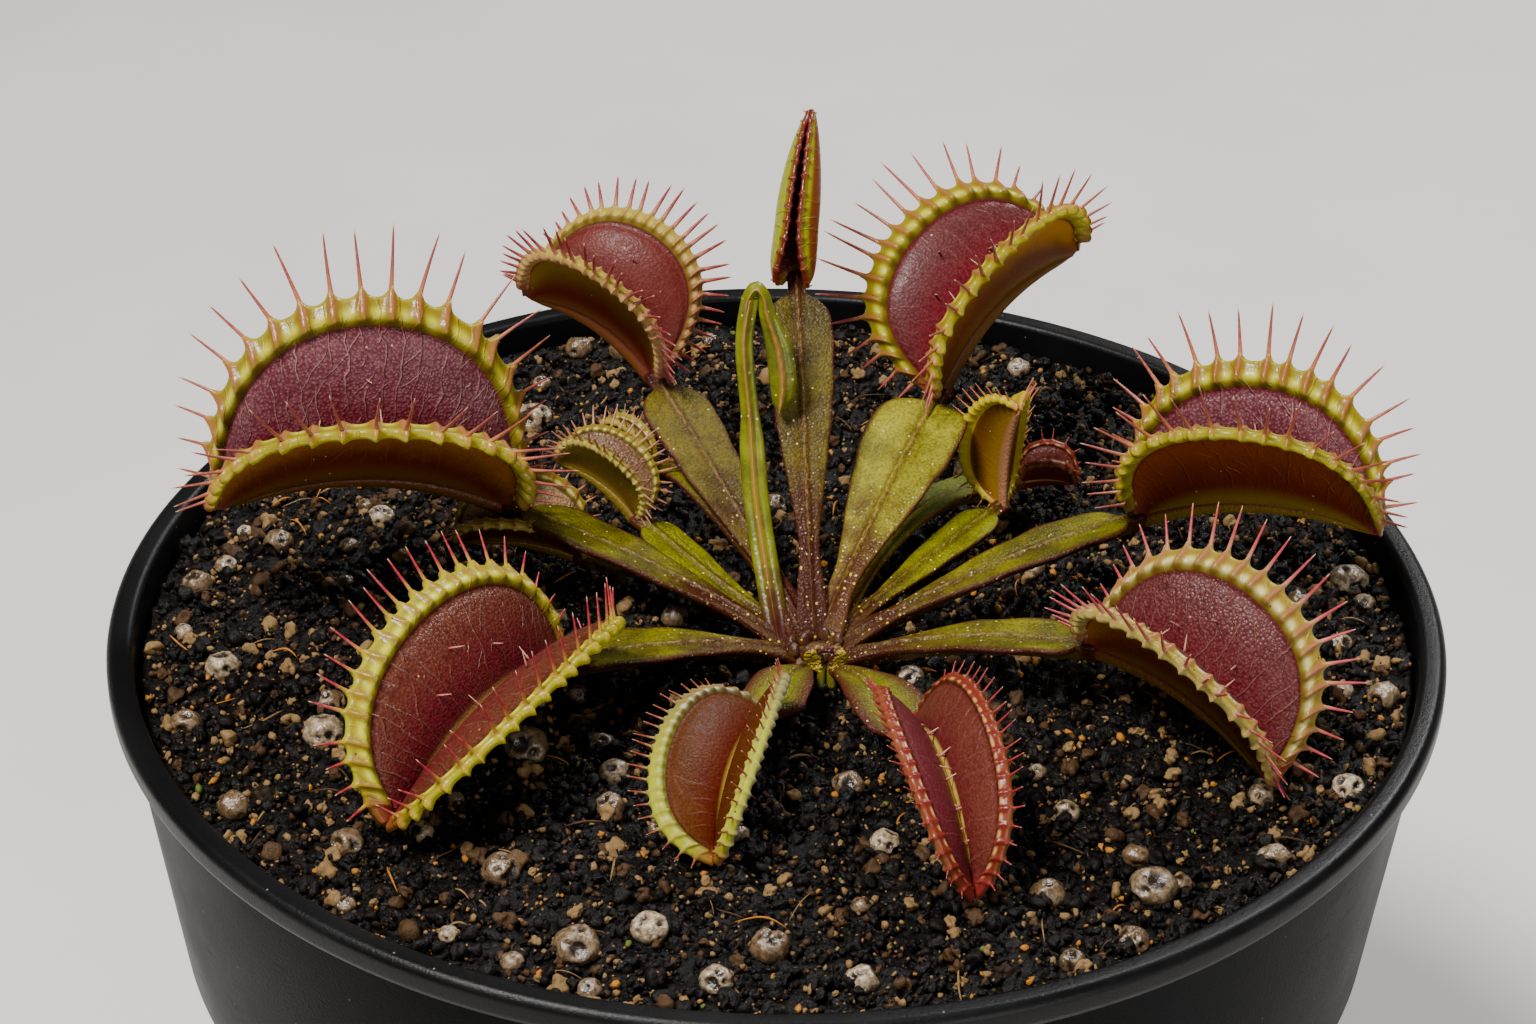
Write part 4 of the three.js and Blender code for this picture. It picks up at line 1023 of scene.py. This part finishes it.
def make_curled(materials):
    """The newest leaf: two fuzzy flaps drooping from a red ridge, on green legs."""
    shape = Shape()
    random = np.random.default_rng(17)
    c, s = math.cos(CURLED.droop), math.sin(CURLED.droop)
    turn = np.array([[c, 0, -s], [0, 1, 0], [s, 0, c]])
    u = np.linspace(0, 1, 12)
    for side in (-1, 1):
        flap = ball(26, 36)
        hollow = 0.45 * np.exp(-((flap[..., 0] - 0.1) ** 2 + (flap[..., 2] + 0.2) ** 2) / 0.30)
        flap[..., 1] += np.where(flap[..., 1] < 0, hollow, 0)
        fuzz = 1 + 0.035 * random.uniform(-1, 1, flap.shape[:2])
        width = 1 - 0.35 * np.clip(-flap[..., 2], 0, 1)
        gold = smoothstep(-0.95, 0.05, flap[..., 0] + 0.15 * flap[..., 2])
        flap = flap * fuzz[..., None] * (0.86, 0.50, 1.30)
        flap[..., 0] *= width
        flap[..., 1] -= 0.35 * flap[..., 2] ** 2 * 0.8
        flap = flap @ turn * (side, 1, 1) + (side * 1.02, 0.0, 1.6)
        shape.ring_skin(flap + CURLED.place, stripe=gold)
        leg = Path([(side * 0.50, 0.1, 1.4), (side * 0.42, -0.25, 0.5), (side * 0.50, -0.7, -0.8)])
        rings = tube(leg.at(u), 0.30 + 0.14 * u, np.array([1, 0, 0]), np.array([0, 1, 0]), 14)
        shape.ring_skin(rings + CURLED.place, material=1)
    bridge = ball(20, 30) * (1.55, 0.42, 0.34) + (0, 0.15, 2.6)
    shape.ring_skin(bridge + CURLED.place, stripe=0.25 * np.abs(bridge[..., 0]))
    shape.build("bud_fuzzy", materials, "bud_curled", "young")


# ---------------------------------------------------------------- the pot

def pot_taper(z):
    t = z / (POT.height - POT.collar_height)
    top = POT.collar_radius - POT.collar_taper - POT.step_in
    return POT.base_radius + (top - POT.base_radius) * t


def rounded_profile(corners):
    """A lathe profile from (radius, height, rounding) corners."""
    profile = []
    t = np.linspace(0, 1, 5)[:, None]
    for i, (x, z, radius) in enumerate(corners):
        corner = np.array([x, z], float)
        if radius == 0:
            profile.append([corner])
        else:
            a, b = (corner + unit(np.asarray(corners[j][:2], float) - corner) * radius
                    for j in (i - 1, i + 1))
            profile.append((1 - t) ** 2 * a + 2 * t * (1 - t) * corner + t ** 2 * b)
    return np.concatenate(profile)


def lathe(profile, sides):
    turn = around(sides)
    profile = np.asarray(profile, float)
    return np.stack([profile[:, 0:1] * np.cos(turn), profile[:, 0:1] * np.sin(turn),
                     profile[:, 1:2] + 0 * turn], -1)


def make_pot(materials):
    h, r, lip = POT.height, POT.rim_radius, POT.lip_height
    step = h - POT.collar_height
    inner = r - POT.lip_width
    profile = rounded_profile([
        (0.01, 0, 0),
        (POT.base_radius - POT.edge, 0, 0.25),
        (pot_taper(POT.edge), POT.edge, 0.25),
        (pot_taper(step - POT.step_height), step - POT.step_height, 0.3),
        (pot_taper(step) + POT.step_in, step, 0.3),
        (POT.collar_radius, h - lip - POT.edge, 0.3),
        (POT.collar_radius + 0.15, h - lip - 0.15, 0.1),
        (r - 0.45, h - lip, 0.25),
        (r - 0.02, h - lip + POT.edge, 0.3),
        (r - 0.02, h - POT.edge, 0.35),
        (r - POT.edge, h - 0.02, 0.35),
        (inner + 0.35, h - 0.10, 0.3),
        (inner, h - 0.5, 0.25),
        (inner - POT.draft, h - POT.throat, 0.5),
        (pot_taper(step) - POT.wall, step - POT.step_height, 0.5),
        (pot_taper(POT.floor) - POT.wall, POT.floor, 0.4),
        (0.01, POT.floor, 0),
    ])
    profile[:, 1] -= h
    shape = Shape()
    shape.ring_skin(lathe(profile, POT.sides))
    pot = shape.build("pot_body", materials, "pot", "pot")
    drill = Shape()
    for angle in around(POT.drains):
        centre = (POT.drain_circle * math.cos(angle), POT.drain_circle * math.sin(angle), -h)
        drill.ring_skin(lathe([(POT.drain_radius, -4), (POT.drain_radius, 4)], POT.drain_sides) + centre)
    mesh = drill.mesh("drill")
    fix_normals(mesh)
    cutter = new_object("drill", mesh)
    cut = pot.modifiers.new("drains", "BOOLEAN")
    cut.operation = "DIFFERENCE"
    cut.solver = "EXACT"
    cut.object = cutter
    bpy.context.view_layer.update()
    done = bpy.data.meshes.new_from_object(pot.evaluated_get(bpy.context.evaluated_depsgraph_get()))
    pot.modifiers.clear()
    pot.data = done
    bpy.data.objects.remove(cutter)
    lip_starts = (h - lip - POT.edge) * MM
    faces = pot.data.polygons
    faces.foreach_set("material_index", [int(face.center.z > lip_starts) for face in faces])
    faces.foreach_set("use_smooth", [True] * len(faces))
    pot.data.set_sharp_from_angle(angle=math.radians(40))


# ---------------------------------------------------------------- soil

def bed_height(x, y):
    """Height of the bed above the rim's plane, with its crumbly relief, as in the part."""
    r = np.hypot(x, y) / POT.rim_radius
    crumbs = np.sin(x * 0.9 + 2 * np.sin(y * 0.35)) * np.cos(y * 0.8 + np.sin(x * 0.5))
    return -SOIL.edge_depth + SOIL.mound * (1 - r * r) + SOIL.bump * crumbs


def rubble(x, y, random):
    """Finer relief on top of the bed: a sum of waves in seeded directions."""
    total = np.zeros_like(x)
    for size, height in ((3.2, 0.22), (1.9, 0.20), (1.1, 0.16), (0.7, 0.10)):
        for _ in range(5):
            angle, shift = random.uniform(0, 2 * np.pi, 2)
            wave = np.sin(2 * np.pi * (x * math.cos(angle) + y * math.sin(angle)) / size + shift)
            total += height / 5 * 1.6 * wave * np.abs(wave)
    return total


def make_bed(material):
    edge = POT.rim_radius - POT.lip_width - POT.draft - SOIL.clearance + 0.35
    rings = np.sqrt(np.linspace(0.0002, 1, 120)) * edge
    turn = around(SOIL.sides)
    x, y = rings[:, None] * np.cos(turn), rings[:, None] * np.sin(turn)
    z = bed_height(x, y) + rubble(x, y, np.random.default_rng(3)) - 0.15
    z[-1] -= 0.4
    side = lathe([(edge - 0.3, -8),
                  (pot_taper(POT.height - POT.collar_height) - POT.wall - 0.4, -POT.collar_height - 1),
                  (pot_taper(POT.floor) - POT.wall - 0.4, POT.floor + 0.3 - POT.height)], SOIL.sides)
    shape = Shape()
    shape.ring_skin(np.concatenate([np.stack([x, y, z], -1), side]), kind=0)
    shape.build("soil_bed", [material], "soil", "soil")


def icosphere(subdivisions):
    work = bmesh.new()
    bmesh.ops.create_icosphere(work, subdivisions=subdivisions, radius=1.0)
    points = np.array([v.co[:] for v in work.verts])
    faces = np.array([[v.index for v in f.verts] for f in work.faces])
    work.free()
    return points, faces


def random_turns(random, count):
    w, x, y, z = unit(random.normal(size=(count, 4))).T
    return np.stack([
        np.stack([1 - 2 * (y * y + z * z), 2 * (x * y - z * w), 2 * (x * z + y * w)], -1),
        np.stack([2 * (x * y + z * w), 1 - 2 * (x * x + z * z), 2 * (y * z - x * w)], -1),
        np.stack([2 * (x * z - y * w), 2 * (y * z + x * w), 1 - 2 * (x * x + y * y)], -1),
    ], 1)


def crumb_places(random, count, margin):
    reach = POT.rim_radius - POT.lip_width - margin
    r = reach * np.sqrt(random.uniform(0, 1, count))
    angle = random.uniform(0, 2 * np.pi, count)
    x, y = r * np.cos(angle), r * np.sin(angle)
    clear = np.hypot(x - CROWN.x, y - CROWN.y) > CROWN.radius - 0.3
    return x[clear], y[clear]


def make_crumbs(name, count, sizes, subdivisions, seed, material, stretch=1.0, kinds=(0, 1)):
    """Irregular crumbs strewn over the bed."""
    random = np.random.default_rng(seed)
    base, faces = icosphere(subdivisions)
    x, y = crumb_places(random, count, 1.0)
    n = len(x)
    size = sizes[0] + (sizes[1] - sizes[0]) * random.uniform(0, 1, n) ** 2.2
    turns = random_turns(random, n)
    scale = np.stack([size * stretch, size, size * random.uniform(0.6, 1.0, n)], -1)
    if subdivisions > 2:
        waves = random.normal(size=(n, 5, 3)) * 2.6
        phases = random.uniform(0, 2 * np.pi, (n, 5, 1))
        lumps = 1 + 0.17 * np.sin(np.einsum("nwj,kj->nwk", waves, base) + phases).sum(1)
        lumps += 0.055 * random.normal(size=lumps.shape)
    else:
        lumps = 1 + 0.22 * random.normal(size=(n, len(base)))
    points = base[None] * np.clip(lumps, 0.45, 1.5)[..., None] * scale[:, None]
    points = np.einsum("nij,nkj->nki", turns, points)
    z = bed_height(x, y) + size * random.uniform(-0.1, 0.75, n)
    points += np.stack([x, y, z], -1)[:, None]
    every = (faces[None] + (np.arange(n) * len(base))[:, None, None]).reshape(-1, 3)
    kind = kinds[0] + (kinds[1] - kinds[0]) * random.uniform(0, 1, n)
    shape = Shape()
    shape.add(points, every, kind=np.repeat(kind, len(base)))
    shape.build(name, [material], slot="soil")


# The largest grains that show: x, y and size in millimetres.
GRAINS = [
    (-15.7, -47.1, 1.9), (-9.9, -44.9, 1.6), (-22.4, -37.5, 1.6), (-0.3, -47.2, 1.6),
    (7.0, -50.6, 1.4), (-4.5, -51.2, 1.4), (22.3, -39.9, 1.5), (30.9, -39.1, 2.0),
    (28.8, -45.5, 1.4), (41.3, -34.7, 1.5), (23.8, -48.1, 1.1), (-35.4, -33.8, 1.4),
    (-45.5, -28.9, 1.4), (-13.9, -28.4, 1.3), (-51.2, -16.9, 1.5), (-49.3, -7.8, 1.6),
    (6.2, -25.3, 1.4), (9.2, -33.4, 1.3), (41.3, -25.5, 1.2), (48.7, -24.6, 1.4),
    (53.6, -10.8, 1.5), (24.5, -28.8, 1.2), (29.9, -34.4, 1.2), (33.3, -38.0, 1.0),
    (-46.8, 12.8, 1.4), (-53.3, 5.3, 1.4), (24.4, 46.9, 1.2), (-7.1, 52.2, 1.0),
    (11.9, -8.7, 1.2), (-14.4, -52.2, 1.0), (-20.7, -49.1, 1.0), (-34.8, -41.4, 0.9),
    (-53.6, -2.0, 0.9), (-51.2, 9.2, 1.1), (53.9, 4.1, 1.1), (50.8, -2.5, 1.1),
    (-20.7, -13.1, 1.1), (-7.0, -32.5, 0.8), (-27.0, -27.2, 0.8), (-19.6, -0.4, 1.0),
]


def make_perlite(material):
    random = np.random.default_rng(29)
    placed = list(GRAINS)
    while len(placed) < PERLITE.count:
        x, y = (float(v[0]) for v in crumb_places(random, 4, 2.6))
        size = PERLITE.smallest + PERLITE.spread * float(random.uniform()) ** 1.8
        near = any(math.hypot(px - x, py - y) < ps + size + 0.3 for px, py, ps in placed)
        if not near and math.hypot(x - CROWN.x, y - CROWN.y) > CROWN.radius + 4:
            placed.append((x, y, size))
    fine, coarse = icosphere(4), icosphere(3)
    shape = Shape()
    for x, y, size in placed:
        base, faces = fine if size > PERLITE.fine_from else coarse
        pits = unit(random.normal(size=(7, 3)) + (0, -0.35, 0.8))
        wide = random.uniform(0.16, 0.34, 7)
        wide[0] = random.uniform(0.36, 0.5)
        angle = np.arccos(np.clip(base @ pits.T, -1, 1))
        depth = np.exp(-(angle / wide) ** 4) * wide * 0.9
        lip = 0.05 * np.exp(-((angle - wide * 1.25) / 0.09) ** 2)
        radius = 1 - depth.max(1) + lip.max(1)
        radius *= (1 + 0.05 * np.sin(base[:, 0] * 5 + x) * np.sin(base[:, 1] * 4 + y)
                   + 0.012 * random.normal(size=len(base)))
        points = base * radius[:, None] * (1, random.uniform(0.88, 1), random.uniform(0.8, 0.95))
        points = points * size + (x, y, float(bed_height(x, y)) + size * 0.28)
        shape.add(points, faces, pit=depth.max(1) / 0.35, kind=random.uniform(0, 1))
    shape.build("perlite", [material], slot="soil")


def make_fibres(material):
    random = np.random.default_rng(41)
    shape = Shape()
    u = np.linspace(-0.5, 0.5, 9)
    for cx, cy in zip(*crumb_places(random, FIBRES, 3.0)):
        angle, length = random.uniform(0, 2 * np.pi), random.uniform(1.0, 4.5)
        bend = random.uniform(-0.5, 0.5)
        px = cx + length * (u * math.cos(angle) - bend * u ** 2 * math.sin(angle))
        py = cy + length * (u * math.sin(angle) + bend * u ** 2 * math.cos(angle))
        centre = np.stack([px, py, bed_height(px, py) + 0.45 + 0.35 * np.cos(u * np.pi)], -1)
        across = np.array([-math.sin(angle), math.cos(angle), 0])
        radius = random.uniform(0.05, 0.12) * np.sqrt(1.02 - (2 * u) ** 2)
        shape.ring_skin(tube(centre, radius, across, np.array([0, 0, 1.0]), 5),
                        kind=random.choice([0.80, 0.90, 0.97]))
    shape.build("soil_fibres", [material], slot="soil")


# ---------------------------------------------------------------- camera, floor and light

CAMERA = Sizes(
    lens=85.0, sensor=36.0,  # mm
    elevation=33.2,          # degrees, from the middle of the rim to the camera
    distance=328.1,          # mm, from the middle of the rim
    look_up=1.38,            # degrees that the view is aimed above the middle of the rim
    yaw=-0.15,
    roll=0.5)
FLOOR = 6.0  # metres across
# Each lamp's place and width in metres, its power in watts and its colour.
LIGHTS = [
    ("key", (-0.26, -0.22, 0.75), 0.20, 10.5, (1.0, 0.97, 0.93)),
    ("back", (0.28, 0.48, 0.62), 0.22, 4.0, (1, 1, 1)),
    ("fill", (0.35, -0.70, 0.26), 0.45, 2.8, (1.0, 0.98, 0.95)),
]


def make_camera():
    e = math.radians(CAMERA.elevation)
    place = Vector((0, -math.cos(e), math.sin(e))) * CAMERA.distance + Vector((0, 0, POT.height))
    look = math.radians(CAMERA.elevation - CAMERA.look_up)
    forward = Vector((0, math.cos(look), -math.sin(look)))
    right = Vector((1, 0, 0))
    up = right.cross(forward)
    yaw, roll = math.radians(CAMERA.yaw), math.radians(CAMERA.roll)
    forward, right = (forward * math.cos(yaw) + right * math.sin(yaw),
                      right * math.cos(yaw) - forward * math.sin(yaw))
    right, up = (right * math.cos(roll) + up * math.sin(roll),
                 up * math.cos(roll) - right * math.sin(roll))
    data = bpy.data.cameras.new("camera")
    data.lens = CAMERA.lens
    data.sensor_width = CAMERA.sensor
    camera = new_object("camera", data)
    rotation = Matrix((right, up, -forward)).transposed().to_4x4()
    camera.matrix_world = Matrix.Translation(place * MM) @ rotation
    bpy.context.scene.camera = camera


def make_light(name, place, size, power, color):
    data = bpy.data.lights.new(name, "AREA")
    data.shape = "DISK"
    data.size = size
    data.energy = power
    data.color = color
    light = new_object(name, data)
    light.location = place
    target = Vector((0, 0, POT.height * MM))
    light.rotation_euler = (target - Vector(place)).to_track_quat("-Z", "Y").to_euler()


def make_stage():
    size = FLOOR / 2
    mesh = bpy.data.meshes.new("floor")
    corners = [(-size, -size, 0), (size, -size, 0), (size, size, 0), (-size, size, 0)]
    mesh.from_pydata(corners, [], [(0, 1, 2, 3)])
    mesh.materials.append(floor_material())
    floor = new_object("floor", mesh)
    world = bpy.data.worlds.new("studio")
    bpy.context.scene.world = world
    world.use_nodes = True
    background = world.node_tree.nodes["Background"]
    background.inputs["Color"].default_value = (0.80, 0.80, 0.80, 1)
    background.inputs["Strength"].default_value = 0.12
    for light in LIGHTS:
        make_light(*light)


# ---------------------------------------------------------------- the whole plant

make_camera()
make_stage()
make_pot([pot_material("wall", 0.025), pot_material("lip", 0.18)])

peat = soil_material("peat", (0.0012, 0.0009, 0.0008), (0.0075, 0.0050, 0.0038), 0.09)
# The bed's peat is a little darker than the crumbs': painted shade for the gaps between them.
make_bed(soil_material("bed", (0.0012, 0.0010, 0.0009), (0.0060, 0.0045, 0.0035), 0.04, 0.0006))
make_crumbs("soil_crumbs", 6400, (0.22, 0.82), 3, 5, peat, kinds=(0.0, 0.955))
make_crumbs("soil_grit", 16000, (0.12, 0.42), 1, 6, peat, stretch=1.3, kinds=(0.42, 1.0))
make_perlite(perlite_material())
make_fibres(peat)

trap_materials = {name: trap_material(name, look) for name, look in LOOKS.items()}
# Each stalk's green, its lighter green and its maroon, then what differs from the usual.
STALK_LOOKS = {
    "olive": ((0.050, 0.041, 0.0005), (0.180, 0.165, 0.0015), (0.042, 0.0028, 0.0024), dict(margin=0.80)),
    "pale": ((0.105, 0.090, 0.003), (0.33, 0.30, 0.020), (0.060, 0.008, 0.005), {}),
    "dusky": ((0.040, 0.025, 0.002), (0.145, 0.110, 0.006), (0.046, 0.0048, 0.0045), dict(gloss=0.05)),
    "fresh": ((0.085, 0.086, 0.001), (0.215, 0.215, 0.003), (0.048, 0.0065, 0.0025), {}),
    # The sprout colours are a bright young green made lighter still: painted light against the shadow
    # that stalk 05 casts on it.
    "sprout": ((0.19, 0.25, 0.010), (0.46, 0.52, 0.06), (0.16, 0.06, 0.01), {}),
    "shade": ((0.072, 0.068, 0.001), (0.165, 0.165, 0.002), (0.052, 0.0042, 0.0040), dict(margin=0.32)),
}
stalk_materials = {name: stalk_material(name, *colors, **more)
                   for name, (*colors, more) in STALK_LOOKS.items()}
for leaf in LEAVES:
    make_trap(leaf, trap_materials)
    make_stalk(leaf, stalk_materials)

young = {
    "stem": young_material("stem", (0.090, 0.095, 0.002), (0.19, 0.20, 0.005), foot=0.30),
    "leg": young_material("leg", (0.060, 0.055, 0.002), (0.14, 0.125, 0.004)),
    "bud": young_material("bud", (0.070, 0.080, 0.002), (0.16, 0.17, 0.004)),
}
make_folded(young)
make_crown(crown_material())
make_curled([fuzz_material(), young["leg"]])
